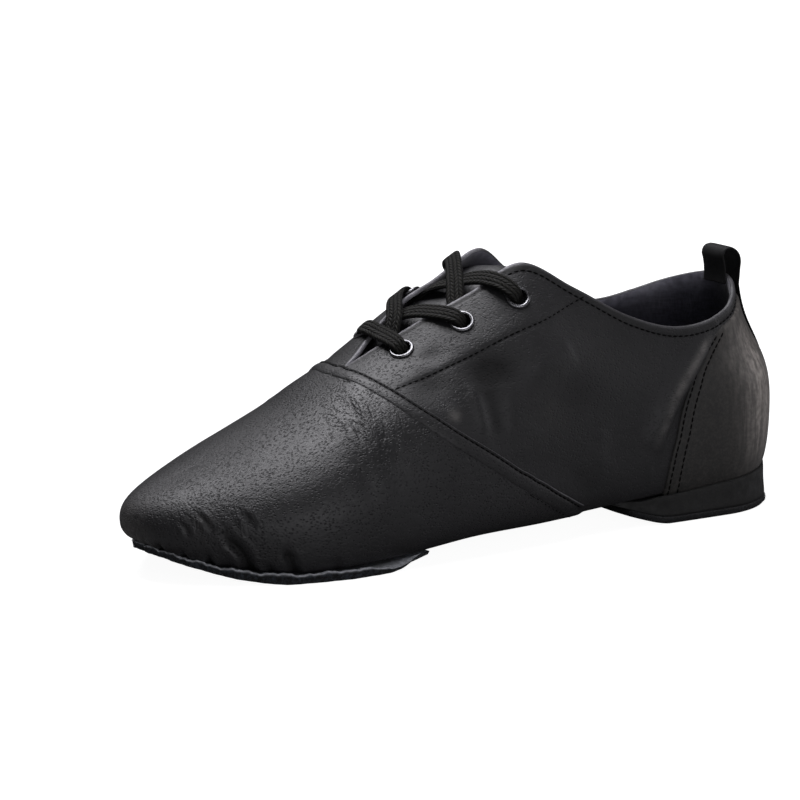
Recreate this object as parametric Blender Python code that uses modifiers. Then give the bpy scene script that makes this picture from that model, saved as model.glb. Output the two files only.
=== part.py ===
"""Left low-cut lace-up jazz shoe, split sole, built as separate solids.

Row frame: +X to the toe, +Y to the outer (lateral) side of a left foot, +Z up,
origin on the floor under the middle of the bounding box.  All sizes in metres.
"""
import math
from typing import NamedTuple

import bmesh
import bpy
import numpy as np
from mathutils import Matrix, Vector

MM = 0.001

# Driving sizes of the last
LENGTH = 250.0 * MM
BALL_WIDTH = 82.3 * MM
INSTEP_HEIGHT = 63.0 * MM
HEEL_HEIGHT = 14.5 * MM
BACK_HEIGHT = 79.0 * MM
TOE_SET = -1.0 * MM

# Wall, gaps and overlays
WALL = 1.6 * MM
GAP = 0.35 * MM
SEAT_GAP = 0.5 * MM
OVERLAY = 0.8 * MM
MARGIN = 10.0 * MM
MARGIN_DROP = 0.7 * MM

# Heel and toe rounding of the girth outline, as shares of the length
HEEL_ROUND = 0.125
TOE_ROUND_START = 0.76
TOE_ROUND_POWER = 2.15

# Columns from heel back to toe on each side, and rows up the wall
COLUMNS = 38
LOWER_ROWS = 4
UPPER_ROWS = 8


class Section(NamedTuple):
    """Cross-section of the last at one place along the length."""

    share: float        # of LENGTH from the heel back
    lateral: float      # half-width at the girth, of BALL_WIDTH
    medial: float
    girth: float        # height of the widest line, of INSTEP_HEIGHT
    feather: float      # height of the lower edge, of HEEL_HEIGHT
    inset: float        # lower edge inside the girth, of BALL_WIDTH


SECTIONS = (
    Section(0.00, 0.358, 0.346, 0.571, 1.000, 0.030),
    Section(0.10, 0.371, 0.358, 0.540, 0.883, 0.030),
    Section(0.20, 0.383, 0.358, 0.476, 0.745, 0.036),
    Section(0.30, 0.395, 0.352, 0.413, 0.634, 0.049),
    Section(0.42, 0.431, 0.352, 0.357, 0.524, 0.061),
    Section(0.56, 0.486, 0.395, 0.317, 0.455, 0.061),
    Section(0.67, 0.514, 0.456, 0.286, 0.331, 0.049),
    Section(0.76, 0.514, 0.486, 0.262, 0.248, 0.036),
    Section(0.85, 0.489, 0.472, 0.248, 0.262, 0.036),
    Section(0.93, 0.447, 0.422, 0.258, 0.455, 0.043),
    Section(1.00, 0.410, 0.360, 0.288, 0.772, 0.061),
)


class TopLine(NamedTuple):
    """Edge of the opening: collar, facing corner and throat edge."""

    share: float        # of LENGTH from the heel back
    lateral: float      # half-width of the opening, of BALL_WIDTH
    medial: float
    height_lat: float   # of BACK_HEIGHT
    height_med: float
    lean_lat: float     # degrees of the wall from level at its edge
    lean_med: float
    slope: float        # fall of the edge toward the toe, for the wall's tangent


TOP_LINE = (
    TopLine(0.048, 0.182, 0.182, 1.000, 1.000, 84.0, 84.0, 0.00),
    TopLine(0.120, 0.286, 0.286, 0.880, 0.911, 84.0, 84.0, 0.00),
    TopLine(0.200, 0.316, 0.316, 0.842, 0.867, 82.0, 82.0, 0.00),
    TopLine(0.280, 0.304, 0.304, 0.911, 0.918, 76.0, 76.0, 0.00),
    TopLine(0.360, 0.249, 0.237, 1.051, 1.057, 66.0, 63.0, 0.00),
    TopLine(0.428, 0.170, 0.152, 1.167, 1.184, 50.0, 44.0, -0.20),
    TopLine(0.500, 0.128, 0.130, 1.056, 1.082, 34.0, 22.0, -0.45),
    TopLine(0.572, 0.082, 0.104, 0.946, 0.980, 24.0, 14.0, -0.50),
    TopLine(0.600, 0.055, 0.080, 0.895, 0.922, 17.0, 11.0, -0.50),
    TopLine(0.625, 0.030, 0.052, 0.850, 0.869, 10.0, 8.0, -0.50),
    TopLine(0.650, 0.010, 0.020, 0.803, 0.812, 4.0, 4.0, -0.50),
    TopLine(0.670, 0.000, 0.000, 0.770, 0.770, 0.0, 0.0, -0.50),
)
COLLAR_ROUND = 0.064
FACING_CORNER = 0.428
THROAT_END = 0.670


class Ridge(NamedTuple):
    """Crown of the vamp from the throat to the toe."""

    share: float
    height: float       # of INSTEP_HEIGHT


RIDGE = (
    Ridge(0.670, 0.9656),
    Ridge(0.700, 0.897),
    Ridge(0.760, 0.771),
    Ridge(0.820, 0.664),
    Ridge(0.865, 0.588),
    Ridge(0.904, 0.524),
)

# Pull of the wall curve at the girth and at the top edge
GIRTH_PULL = 0.52
EDGE_PULL = 0.56
FOOT_OUT = 0.60
FOOT_UP = 0.15
FOOT_PULL = 0.50
BLEND_NEAR = 4.0 * MM
BLEND_SPAN = 12.0 * MM


class SeamPoint(NamedTuple):
    """Point of a seam on the wall: column share and row (0 feather, 1 girth, 2 edge)."""

    row: float
    column: float


VAMP_SEAM = (
    SeamPoint(0.15, 0.4245),
    SeamPoint(0.40, 0.4385),
    SeamPoint(0.70, 0.4593),
    SeamPoint(0.90, 0.4740),
    SeamPoint(0.97, 0.4803),
    SeamPoint(1.00, 0.4831),
    SeamPoint(1.04, 0.4985),
    SeamPoint(1.10, 0.5172),
    SeamPoint(1.22, 0.5500),
    SeamPoint(1.43, 0.5908),
    SeamPoint(1.67, 0.6250),
    SeamPoint(1.86, 0.6465),
    SeamPoint(2.00, 0.6600),
)
VAMP_BAND_WIDTH = 6.0 * MM
BAND_ROWS = 22

COUNTER_SEAM = (
    SeamPoint(0.06, 0.321),
    SeamPoint(0.58, 0.320),
    SeamPoint(1.00, 0.312),
    SeamPoint(1.18, 0.304),
    SeamPoint(1.39, 0.290),
    SeamPoint(1.66, 0.265),
    SeamPoint(1.80, 0.242),
    SeamPoint(1.93, 0.208),
)
COUNTER_GAP = 0.5 * MM
COUNTER_COLUMNS = 26
COUNTER_ROWS = 9

# Soles
SOLE_START = 0.628
SOLE_OUT = 1.4 * MM
SOLE_COLUMNS = 18


class SoleLine(NamedTuple):
    """Underside of the forefoot sole along the length."""

    share: float
    under: float        # height above the floor, metres
    thick: float        # least thickness, metres


SOLE_LINES = (
    SoleLine(0.628, 3.0 * MM, 1.2 * MM),
    SoleLine(0.665, 1.0 * MM, 1.8 * MM),
    SoleLine(0.700, 0.0, 2.2 * MM),
    SoleLine(0.780, 0.0, 2.2 * MM),
    SoleLine(0.850, 0.0, 2.2 * MM),
    SoleLine(0.890, 1.3 * MM, 2.0 * MM),
    SoleLine(0.935, 3.9 * MM, 1.8 * MM),
    SoleLine(1.000, 8.4 * MM, 1.6 * MM),
)

# Heel block and the thin lift that follows its underside
HEEL_END = 0.335
HEEL_FLAT_END = 0.225
HEEL_TOP_OUT = 1.9 * MM
HEEL_FOOT_OUT = 2.5 * MM
HEEL_EDGE = 1.0 * MM
HEEL_RAMP_POWER = 1.5
HEEL_COLUMNS = 16
LIFT = 2.0 * MM
LIFT_OUT = 3.0 * MM
LIFT_END = 0.300
LIFT_COLUMNS = 13

INSOLE = 2.0 * MM
INSOLE_IN = 3.2 * MM
INSOLE_COLUMNS = 22

# Tongue under the throat
TONGUE_TOP = 0.455
TONGUE_END = 0.720
TONGUE_ROW = 1.66
TONGUE_GAP = 1.1 * MM
TONGUE = 1.4 * MM
TONGUE_COLUMNS = 14

# Eyelets and lace
EYELET_PLACES = (SeamPoint(1.886, 0.5950), SeamPoint(1.864, 0.5344), SeamPoint(1.841, 0.4775))
EYELET_FLANGE = 3.9 * MM
EYELET_BORE = 2.35 * MM
EYELET_BARREL = 2.75 * MM
EYELET_HOLE = 3.1 * MM
EYELET_THICK = 0.7 * MM
EYELET_STEPS = 16
LACE_WIDTH = 6.4 * MM
LACE_THICK = 1.1 * MM
LACE_LIFT = 1.9 * MM
LACE_OVER = 0.9 * MM
LACE_STEPS = 10

# Ribbon up the back and its loop
RIBBON_HALF = 5.6 * MM
RIBBON_THICK = 0.9 * MM
RIBBON_FOOT_ROW = 0.55
RIBBON_ROWS = 12
RIBBON_ACROSS = (-1.0, -0.5, 0.0, 0.5, 1.0)


class LoopPoint(NamedTuple):
    """Point of the pull loop's middle line from the collar's back edge."""

    forward: float
    up: float
    bow: float          # share of the collar's round kept across the ribbon


LOOP_POINTS = (
    LoopPoint(-2.6 * MM, 2.0 * MM, 0.8),
    LoopPoint(-2.3 * MM, 4.2 * MM, 0.4),
    LoopPoint(-1.3 * MM, 6.4 * MM, 0.1),
    LoopPoint(0.3 * MM, 8.0 * MM, 0.0),
    LoopPoint(2.3 * MM, 8.7 * MM, 0.0),
    LoopPoint(4.1 * MM, 8.2 * MM, 0.0),
    LoopPoint(4.9 * MM, 6.6 * MM, 0.0),
    LoopPoint(4.5 * MM, 4.6 * MM, 0.1),
    LoopPoint(3.8 * MM, 2.2 * MM, 0.3),
    LoopPoint(3.4 * MM, -0.4 * MM, 0.4),
    LoopPoint(3.5 * MM, -3.4 * MM, 0.4),
)


class Finish(NamedTuple):
    """Plain surface of one material."""

    colour: tuple
    roughness: float
    metallic: float


FINISHES = {
    "upper_leather": Finish((0.022, 0.022, 0.024), 0.48, 0.0),
    "counter_leather": Finish((0.028, 0.026, 0.025), 0.60, 0.0),
    "tongue_leather": Finish((0.020, 0.020, 0.022), 0.60, 0.0),
    "insole_cloth": Finish((0.020, 0.022, 0.040), 0.90, 0.0),
    "sole_suede": Finish((0.024, 0.028, 0.036), 0.95, 0.0),
    "heel_rubber": Finish((0.018, 0.018, 0.019), 0.75, 0.0),
    "eyelet_metal": Finish((0.16, 0.16, 0.17), 0.32, 1.0),
    "lace_braid": Finish((0.016, 0.016, 0.017), 0.85, 0.0),
    "ribbon_weave": Finish((0.030, 0.030, 0.032), 0.70, 0.0),
}

LATERAL = 1
MEDIAL = -1


def column_of(rows, name):
    """Return one named column of a table as an array."""
    return np.array([getattr(row, name) for row in rows], float)


def curve_through(rows, key, name, at):
    """Return a smooth curve through a table's named column at the given keys."""
    xs = column_of(rows, key)
    ys = column_of(rows, name)
    at = np.clip(np.asarray(at, float), xs[0], xs[-1])
    step = np.diff(xs)
    rise = np.diff(ys) / step
    tangent = np.empty_like(ys)
    tangent[0] = rise[0]
    tangent[-1] = rise[-1]
    tangent[1:-1] = (rise[:-1] * step[1:] + rise[1:] * step[:-1]) / (step[:-1] + step[1:])
    i = np.clip(np.searchsorted(xs, at) - 1, 0, len(xs) - 2)
    t = (at - xs[i]) / step[i]
    return (
        (2 * t**3 - 3 * t**2 + 1) * ys[i]
        + (t**3 - 2 * t**2 + t) * step[i] * tangent[i]
        + (3 * t**2 - 2 * t**3) * ys[i + 1]
        + (t**3 - t**2) * step[i] * tangent[i + 1]
    )


def ease(u):
    """Return the share of length at column u, close-set at both ends."""
    return (1.0 - np.cos(np.pi * np.asarray(u, float))) / 2.0


def column_at(share, back, front):
    """Return the column whose place between back and front is the given share."""
    return math.acos(1.0 - 2.0 * (share - back) / (front - back)) / math.pi


def centre_line(share):
    """Return the sideways place of the last's centre line."""
    t = np.clip((share - 0.45) / 0.55, 0.0, 1.0)
    return TOE_SET * t * t * (3.0 - 2.0 * t)


def girth_line(u, side):
    """Return the widest line of the last at columns u on one side."""
    share = ease(u)
    name = "lateral" if side == LATERAL else "medial"
    heel = np.clip((HEEL_ROUND - share) / HEEL_ROUND, 0.0, 1.0)
    toe = np.clip((share - TOE_ROUND_START) / (1.0 - TOE_ROUND_START), 0.0, 1.0)
    close = np.sqrt(1.0 - heel**2) * np.sqrt(np.maximum(1.0 - toe**TOE_ROUND_POWER, 0.0))
    half = BALL_WIDTH * curve_through(SECTIONS, "share", name, share) * close
    height = INSTEP_HEIGHT * curve_through(SECTIONS, "share", "girth", share)
    return np.stack([LENGTH * share, centre_line(share) + side * half, height], -1)


def plan_normal(u, side):
    """Return the outward direction of the girth line in plan."""
    u = np.asarray(u, float)
    d = 1e-4
    run = girth_line(np.clip(u + d, 0, 1), side) - girth_line(np.clip(u - d, 0, 1), side)
    normal = np.stack([-run[..., 1], run[..., 0]], -1) * side
    normal /= np.linalg.norm(normal, axis=-1, keepdims=True)
    normal = np.where((u < d)[..., None], np.array([-1.0, 0.0]), normal)
    return np.where((u > 1 - d)[..., None], np.array([1.0, 0.0]), normal)


def feather_line(u, side, out=0.0):
    """Return the lower edge of the wall, moved out in plan by a given amount."""
    share = ease(u)
    inset = BALL_WIDTH * curve_through(SECTIONS, "share", "inset", share)
    point = girth_line(u, side).copy()
    point[..., :2] -= plan_normal(u, side) * (inset - out)[..., None]
    point[..., 2] = HEEL_HEIGHT * curve_through(SECTIONS, "share", "feather", share)
    return point


def top_line(u, side):
    """Return the top edge, its lean and its tangent's slope at columns u."""
    back = TOP_LINE[0].share
    front = RIDGE[-1].share
    share = back + (front - back) * ease(u)
    name = "lateral" if side == LATERAL else "medial"
    high = "height_lat" if side == LATERAL else "height_med"
    close = np.clip((COLLAR_ROUND - (share - back)) / COLLAR_ROUND, 0.0, 1.0)
    half = BALL_WIDTH * curve_through(TOP_LINE, "share", name, share) * np.sqrt(1.0 - close**2)
    height = BACK_HEIGHT * curve_through(TOP_LINE, "share", high, share)
    tilt = "lean_lat" if side == LATERAL else "lean_med"
    lean = np.radians(curve_through(TOP_LINE, "share", tilt, share))
    slope = curve_through(TOP_LINE, "share", "slope", share)
    d = 1e-3
    fore = np.clip(share + d, THROAT_END, front)
    aft = np.clip(share - d, THROAT_END, front)
    crown = INSTEP_HEIGHT * curve_through(RIDGE, "share", "height", share)
    fall = INSTEP_HEIGHT * (
        curve_through(RIDGE, "share", "height", fore) - curve_through(RIDGE, "share", "height", aft)
    ) / (LENGTH * np.maximum(fore - aft, d))
    vamp = share > THROAT_END + 1e-7
    half = np.where(vamp, 0.0, half)
    height = np.where(vamp, crown, height)
    lean = np.where(vamp, 0.0, lean)
    slope = np.where(vamp, fall, slope)
    point = np.stack([LENGTH * share, centre_line(share) + side * half, height], -1)
    return point, lean, slope


def cubic(start, pull_a, pull_b, end, t):
    """Return points of a cubic curve at t."""
    t = t[..., None]
    return (1 - t) ** 3 * start + 3 * (1 - t) ** 2 * t * pull_a + 3 * (1 - t) * t**2 * pull_b + t**3 * end


def wall_point(u, v, side):
    """Return the outer wall at column u and row v: 0 feather, 1 girth, 2 top edge."""
    u, v = np.broadcast_arrays(np.asarray(u, float), np.asarray(v, float))
    girth = girth_line(u, side)
    foot = feather_line(u, side)
    edge, lean, slope = top_line(u, side)
    out = plan_normal(u, side)
    gap = girth[..., :2] - edge[..., :2]
    reach = np.linalg.norm(gap, axis=-1)
    rise = edge[..., 2] - girth[..., 2]
    near = np.clip((reach - BLEND_NEAR) / BLEND_SPAN, 0.0, 1.0)[..., None]
    toward = out * (1 - near) + gap / np.maximum(reach, 1e-9)[..., None] * near
    toward /= np.linalg.norm(toward, axis=-1, keepdims=True)
    up = np.array([0.0, 0.0, 1.0])
    pull = EDGE_PULL * (reach * np.cos(lean) ** 2 + rise * np.sin(lean) ** 2)
    tangent = np.stack(
        [
            np.cos(lean) * toward[..., 0],
            np.cos(lean) * toward[..., 1],
            np.cos(lean) * toward[..., 0] * slope - np.sin(lean),
        ],
        -1,
    )
    upper = cubic(
        girth,
        girth + GIRTH_PULL * rise[..., None] * up,
        edge + pull[..., None] * tangent,
        edge,
        np.clip(v - 1.0, 0.0, 1.0),
    )
    climb = girth[..., 2] - foot[..., 2]
    inset = BALL_WIDTH * curve_through(SECTIONS, "share", "inset", ease(u))
    level = np.concatenate([out, np.zeros_like(out[..., :1])], -1)
    lower = cubic(
        foot,
        foot + FOOT_OUT * inset[..., None] * level + FOOT_UP * climb[..., None] * up,
        girth - FOOT_PULL * climb[..., None] * up,
        girth,
        np.clip(v, 0.0, 1.0),
    )
    return np.where((v > 1.0)[..., None], upper, lower)


def wall_normal(u, v, side):
    """Return the outward normal of the wall."""
    u, v = np.broadcast_arrays(np.asarray(u, float), np.asarray(v, float))
    du = 2e-4
    dv = 2e-3
    along = wall_point(np.clip(u + du, 0, 1), v, side) - wall_point(np.clip(u - du, 0, 1), v, side)
    upward = wall_point(u, np.clip(v + dv, 0, 2), side) - wall_point(u, np.clip(v - dv, 0, 2), side)
    normal = np.cross(upward, along) * side
    return normal / np.linalg.norm(normal, axis=-1, keepdims=True)


def skin(u, v, side, lift):
    """Return the wall moved out along its normal by lift."""
    return wall_point(u, v, side) + wall_normal(u, v, side) * lift


def make_object(name, verts, faces, finish, collection):
    """Make a mesh object with welded vertices and outward faces."""
    mesh = bpy.data.meshes.new(name)
    mesh.from_pydata([tuple(p) for p in verts], [], faces)
    bm = bmesh.new()
    bm.from_mesh(mesh)
    bmesh.ops.remove_doubles(bm, verts=bm.verts, dist=1e-6)
    bmesh.ops.dissolve_degenerate(bm, edges=bm.edges, dist=1e-7)
    bmesh.ops.recalc_face_normals(bm, faces=bm.faces)
    bm.to_mesh(mesh)
    bm.free()
    obj = bpy.data.objects.new(name, mesh)
    collection.objects.link(obj)
    if finish:
        obj.data.materials.append(material(finish))
    return obj


def material(name):
    """Return the named plain material, made once."""
    found = bpy.data.materials.get(name)
    if found:
        return found
    finish = FINISHES[name]
    made = bpy.data.materials.new(name)
    made.use_nodes = True
    shader = made.node_tree.nodes["Principled BSDF"]
    shader.inputs["Base Color"].default_value = (*finish.colour, 1.0)
    shader.inputs["Roughness"].default_value = finish.roughness
    shader.inputs["Metallic"].default_value = finish.metallic
    return made


def shell(outer, inner, start_wall=True, end_wall=True):
    """Return vertices and faces of the closed body between two grids of points.

    The grids run (columns, rows); a column that closes to a fold needs no wall.
    """
    n, m, _ = outer.shape
    verts = np.concatenate([outer.reshape(-1, 3), inner.reshape(-1, 3)])
    faces = []

    def top(i, j):
        return i * m + j

    def low(i, j):
        return n * m + i * m + j

    for i in range(n - 1):
        for j in range(m - 1):
            faces.append((top(i, j), top(i + 1, j), top(i + 1, j + 1), top(i, j + 1)))
            faces.append((low(i, j), low(i, j + 1), low(i + 1, j + 1), low(i + 1, j)))
        faces.append((top(i, 0), low(i, 0), low(i + 1, 0), top(i + 1, 0)))
        faces.append((top(i, m - 1), top(i + 1, m - 1), low(i + 1, m - 1), low(i, m - 1)))
    for j in range(m - 1):
        if start_wall:
            faces.append((top(0, j), top(0, j + 1), low(0, j + 1), low(0, j)))
        if end_wall:
            faces.append((top(n - 1, j), low(n - 1, j), low(n - 1, j + 1), top(n - 1, j + 1)))
    return verts, faces


def across(lateral_rings, medial_rings):
    """Return a grid of columns that runs from the lateral rim over to the medial rim."""
    middle = (lateral_rings[-1] + medial_rings[-1]) / 2.0
    rows = list(lateral_rings) + [middle] + list(medial_rings)[::-1]
    return np.stack(rows, 1)


def ring(u, side, out, height):
    """Return the feather line moved out in plan, at the given heights."""
    point = feather_line(u, side, np.full_like(u, out))
    point[..., 2] = height
    return point


def feather_height(u):
    """Return the height of the feather line at columns u."""
    return HEEL_HEIGHT * curve_through(SECTIONS, "share", "feather", ease(u))


def apply_modifiers(obj):
    """Bake an object's modifiers into its mesh."""
    depsgraph = bpy.context.evaluated_depsgraph_get()
    baked = bpy.data.meshes.new_from_object(obj.evaluated_get(depsgraph))
    obj.modifiers.clear()
    obj.data = baked


def girth_columns():
    """Return the columns, with one set on the facing corner and one on the throat's end."""
    u = np.linspace(0.0, 1.0, COLUMNS + 1)
    back = TOP_LINE[0].share
    front = RIDGE[-1].share
    for share in (FACING_CORNER, THROAT_END):
        fixed = column_at(share, back, front)
        u[np.argmin(np.abs(u - fixed))] = fixed
    return u


def build_upper(parts, cutters):
    """Build the hollow upper: wall, lasting margin, arch underside and eyelet holes."""
    u = girth_columns()
    rows = np.concatenate(
        [np.linspace(0.0, 1.0, LOWER_ROWS + 1), np.linspace(1.0, 2.0, UPPER_ROWS + 1)[1:]]
    )
    share = ease(u)
    arch = (share > HEEL_END - 0.02) & (share < SOLE_START + 0.03)
    verts = []
    faces = []
    grids = {}
    for side in (LATERAL, MEDIAL):
        low = feather_height(u) - MARGIN_DROP
        layers = [ring(u, side, -MARGIN, low), ring(u, side, -MARGIN * 0.25, low)]
        layers += [wall_point(u, np.full_like(u, v), side) for v in rows]
        grids[side] = np.stack(layers, 1)
    middle = (grids[LATERAL][:, 0] + grids[MEDIAL][:, 0]) / 2.0
    count = grids[LATERAL].shape[1]
    offset = {LATERAL: 0, MEDIAL: len(u) * count}
    for side in (LATERAL, MEDIAL):
        verts.extend(grids[side].reshape(-1, 3))
    centre_offset = len(verts)
    verts.extend(middle)
    for side in (LATERAL, MEDIAL):
        for i in range(len(u) - 1):
            for j in range(count - 1):
                a = offset[side] + i * count + j
                b = offset[side] + (i + 1) * count + j
                faces.append((a, b, b + 1, a + 1) if side == LATERAL else (a, a + 1, b + 1, b))
            if arch[i] and arch[i + 1]:
                a = offset[side] + i * count
                b = offset[side] + (i + 1) * count
                c = centre_offset + i
                faces.append((c, c + 1, b, a) if side == LATERAL else (c, a, b, c + 1))
    used = sorted({k for face in faces for k in face})
    renumber = {k: n for n, k in enumerate(used)}
    faces = [tuple(renumber[k] for k in face) for face in faces]
    obj = make_object("upper", [verts[k] for k in used], faces, "upper_leather", parts)
    face_out(obj)
    thick = obj.modifiers.new("wall", "SOLIDIFY")
    thick.thickness = WALL
    thick.offset = -1.0
    thick.use_even_offset = True
    thick.use_quality_normals = True
    apply_modifiers(obj)
    for number, (place, side) in enumerate(eyelet_sites(), 1):
        cutter = eyelet_cutter(f"eyelet_hole_{number}", place, side, cutters)
        cut = obj.modifiers.new(cutter.name, "BOOLEAN")
        cut.operation = "DIFFERENCE"
        cut.solver = "EXACT"
        cut.object = cutter
    apply_modifiers(obj)
    return obj


def face_out(obj):
    """Turn an open wall's faces away from the foot."""
    mesh = obj.data
    centre = Vector((LENGTH * 0.45, 0.0, INSTEP_HEIGHT * 0.4))
    votes = sum(1 if (f.center - centre).dot(f.normal) > 0 else -1 for f in mesh.polygons)
    if votes < 0:
        mesh.flip_normals()


def eyelet_sites():
    """Return each eyelet's place and side, lateral row first."""
    return [(place, side) for side in (LATERAL, MEDIAL) for place in EYELET_PLACES]


def eyelet_frame(place, side):
    """Return a matrix whose Z runs out of the wall at an eyelet."""
    origin = Vector(wall_point(place.column, place.row, side))
    normal = Vector(wall_normal(place.column, place.row, side))
    return Matrix.Translation(origin) @ normal.to_track_quat("Z", "Y").to_matrix().to_4x4()


def eyelet_cutter(name, place, side, cutters):
    """Make the cylinder that opens the wall for one eyelet."""
    mesh = bpy.data.meshes.new(name)
    bm = bmesh.new()
    bmesh.ops.create_cone(
        bm, cap_ends=True, segments=EYELET_STEPS, radius1=EYELET_HOLE, radius2=EYELET_HOLE,
        depth=8.0 * MM, matrix=eyelet_frame(place, side),
    )
    bm.to_mesh(mesh)
    bm.free()
    cutter = bpy.data.objects.new(name, mesh)
    cutter.hide_render = True
    cutter.display_type = "WIRE"
    cutters.objects.link(cutter)
    return cutter


def build_eyelet(name, place, side, parts):
    """Turn a flanged barrel about its axis and seat it in its hole."""
    seat = GAP
    top = seat + EYELET_THICK
    profile = (
        (EYELET_BORE, -WALL * 0.9),
        (EYELET_BARREL, -WALL * 0.9),
        (EYELET_BARREL, seat),
        (EYELET_FLANGE, seat),
        (EYELET_FLANGE - EYELET_THICK / 2, top),
        (EYELET_BORE, top),
    )
    bm = bmesh.new()
    verts = [bm.verts.new((r, 0.0, z)) for r, z in profile]
    edges = [bm.edges.new((verts[k], verts[(k + 1) % len(verts)])) for k in range(len(verts))]
    bmesh.ops.spin(
        bm, geom=verts + edges, cent=(0, 0, 0), axis=(0, 0, 1), angle=2 * math.pi,
        steps=EYELET_STEPS, use_merge=True,
    )
    bmesh.ops.remove_doubles(bm, verts=bm.verts, dist=1e-7)
    bmesh.ops.recalc_face_normals(bm, faces=bm.faces)
    bmesh.ops.transform(bm, matrix=eyelet_frame(place, side), verts=bm.verts)
    mesh = bpy.data.meshes.new(name)
    bm.to_mesh(mesh)
    bm.free()
    obj = bpy.data.objects.new(name, mesh)
    obj.data.materials.append(material("eyelet_metal"))
    parts.objects.link(obj)


def build_slab(name, u, rings_top, rings_low, finish, parts, folded):
    """Build a plate between two sets of rings, folded shut where the sides meet."""
    top = across([f(u, LATERAL) for f in rings_top], [f(u, MEDIAL) for f in rings_top])
    low = across([f(u, LATERAL) for f in rings_low], [f(u, MEDIAL) for f in rings_low])
    verts, faces = shell(top, low, start_wall=not folded[0], end_wall=not folded[1])
    return make_object(name, verts, faces, finish, parts)


def build_sole(parts):
    """Build the forefoot sole with its toe spring and thin rear end."""
    start = column_at(SOLE_START, 0.0, 1.0)
    u = np.linspace(start, 1.0, SOLE_COLUMNS + 1)
    under = curve_through(SOLE_LINES, "share", "under", ease(u))
    seat = feather_height(u) - MARGIN_DROP - SEAT_GAP
    thick = curve_through(SOLE_LINES, "share", "thick", ease(u))
    floor = np.maximum(np.minimum(under, seat - 0.8 * MM), 0.0)
    rim = np.minimum(feather_height(u) - GAP, floor + thick + 1.6 * MM)
    rings_top = (
        lambda c, s: ring(c, s, SOLE_OUT, rim),
        lambda c, s: ring(c, s, 0.0, np.minimum(rim, seat + 0.2 * MM)),
        lambda c, s: ring(c, s, -MARGIN * 0.5, seat),
        lambda c, s: ring(c, s, -MARGIN * 1.4, seat),
    )
    rings_low = (
        lambda c, s: ring(c, s, SOLE_OUT, floor + 0.5 * MM),
        lambda c, s: ring(c, s, SOLE_OUT - 1.0 * MM, floor),
        lambda c, s: ring(c, s, -MARGIN * 0.5, floor),
        lambda c, s: ring(c, s, -MARGIN * 1.4, floor),
    )
    return build_slab("sole_forefoot", u, rings_top, rings_low, "sole_suede", parts, (False, True))


def heel_floor(u):
    """Return the height of the heel block's underside at columns u."""
    seat = feather_height(u) - MARGIN_DROP - SEAT_GAP
    ramp = np.clip((ease(u) - HEEL_FLAT_END) / (HEEL_END - HEEL_FLAT_END), 0.0, 1.0)
    base = LIFT + GAP
    return base + (seat - HEEL_EDGE - base) * ramp**HEEL_RAMP_POWER


def build_heel(parts):
    """Build the rubber heel block with its tapered breast, and the thin lift under it."""
    u = np.linspace(0.0, column_at(HEEL_END, 0.0, 1.0), HEEL_COLUMNS + 1)
    seat = feather_height(u) - MARGIN_DROP - SEAT_GAP
    rim = feather_height(u) - GAP
    floor = heel_floor(u)
    rings_top = (
        lambda c, s: ring(c, s, HEEL_TOP_OUT, rim),
        lambda c, s: ring(c, s, 0.0, seat + 0.2 * MM),
        lambda c, s: ring(c, s, -MARGIN * 0.5, seat),
        lambda c, s: ring(c, s, -MARGIN * 1.2, seat),
    )
    rings_low = (
        lambda c, s: ring(c, s, HEEL_FOOT_OUT, floor),
        lambda c, s: ring(c, s, 0.0, floor),
        lambda c, s: ring(c, s, -MARGIN * 0.5, floor),
        lambda c, s: ring(c, s, -MARGIN * 1.2, floor),
    )
    build_slab("heel_block", u, rings_top, rings_low, "heel_rubber", parts, (True, False))
    flat = np.linspace(0.0, column_at(LIFT_END, 0.0, 1.0), LIFT_COLUMNS + 1)
    top = heel_floor(flat) - GAP
    bottom = top - LIFT
    rings_top = (
        lambda c, s: ring(c, s, LIFT_OUT, top),
        lambda c, s: ring(c, s, -MARGIN * 0.5, top),
    )
    rings_low = (
        lambda c, s: ring(c, s, LIFT_OUT, bottom),
        lambda c, s: ring(c, s, -MARGIN * 0.5, bottom),
    )
    build_slab("heel_lift", flat, rings_top, rings_low, "sole_suede", parts, (True, False))


def build_insole(parts):
    """Build the insole that lies on the lasting margin inside the shoe."""
    u = np.linspace(0.0, 1.0, INSOLE_COLUMNS + 1)
    low = feather_height(u) - MARGIN_DROP + WALL + GAP
    rings_top = (
        lambda c, s: ring(c, s, -INSOLE_IN, low + INSOLE),
        lambda c, s: ring(c, s, -INSOLE_IN - 0.5 * MARGIN, low + INSOLE),
        lambda c, s: ring(c, s, -INSOLE_IN - MARGIN, low + INSOLE),
    )
    rings_low = (
        lambda c, s: ring(c, s, -INSOLE_IN, low),
        lambda c, s: ring(c, s, -INSOLE_IN - 0.5 * MARGIN, low),
        lambda c, s: ring(c, s, -INSOLE_IN - MARGIN, low),
    )
    build_slab("insole", u, rings_top, rings_low, "insole_cloth", parts, (True, True))


def build_tongue(parts):
    """Build the tongue under the throat, close below the facings."""
    u = np.linspace(TONGUE_TOP, TONGUE_END, TONGUE_COLUMNS + 1)
    rows = np.linspace(TONGUE_ROW, 1.93, 4)
    depth = WALL + TONGUE_GAP

    def sheet(down):
        lateral = [skin(u, np.full_like(u, v), LATERAL, -down) for v in rows]
        medial = [skin(u, np.full_like(u, v), MEDIAL, -down) for v in rows]
        edge_lat = top_line(u, LATERAL)[0]
        edge_med = top_line(u, MEDIAL)[0]
        crown = (edge_lat + edge_med) / 2.0
        crown[..., 2] -= down
        return np.stack(lateral + [crown] + medial[::-1], 1)

    verts, faces = shell(sheet(depth), sheet(depth + TONGUE))
    make_object("tongue", verts, faces, "tongue_leather", parts)


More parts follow.
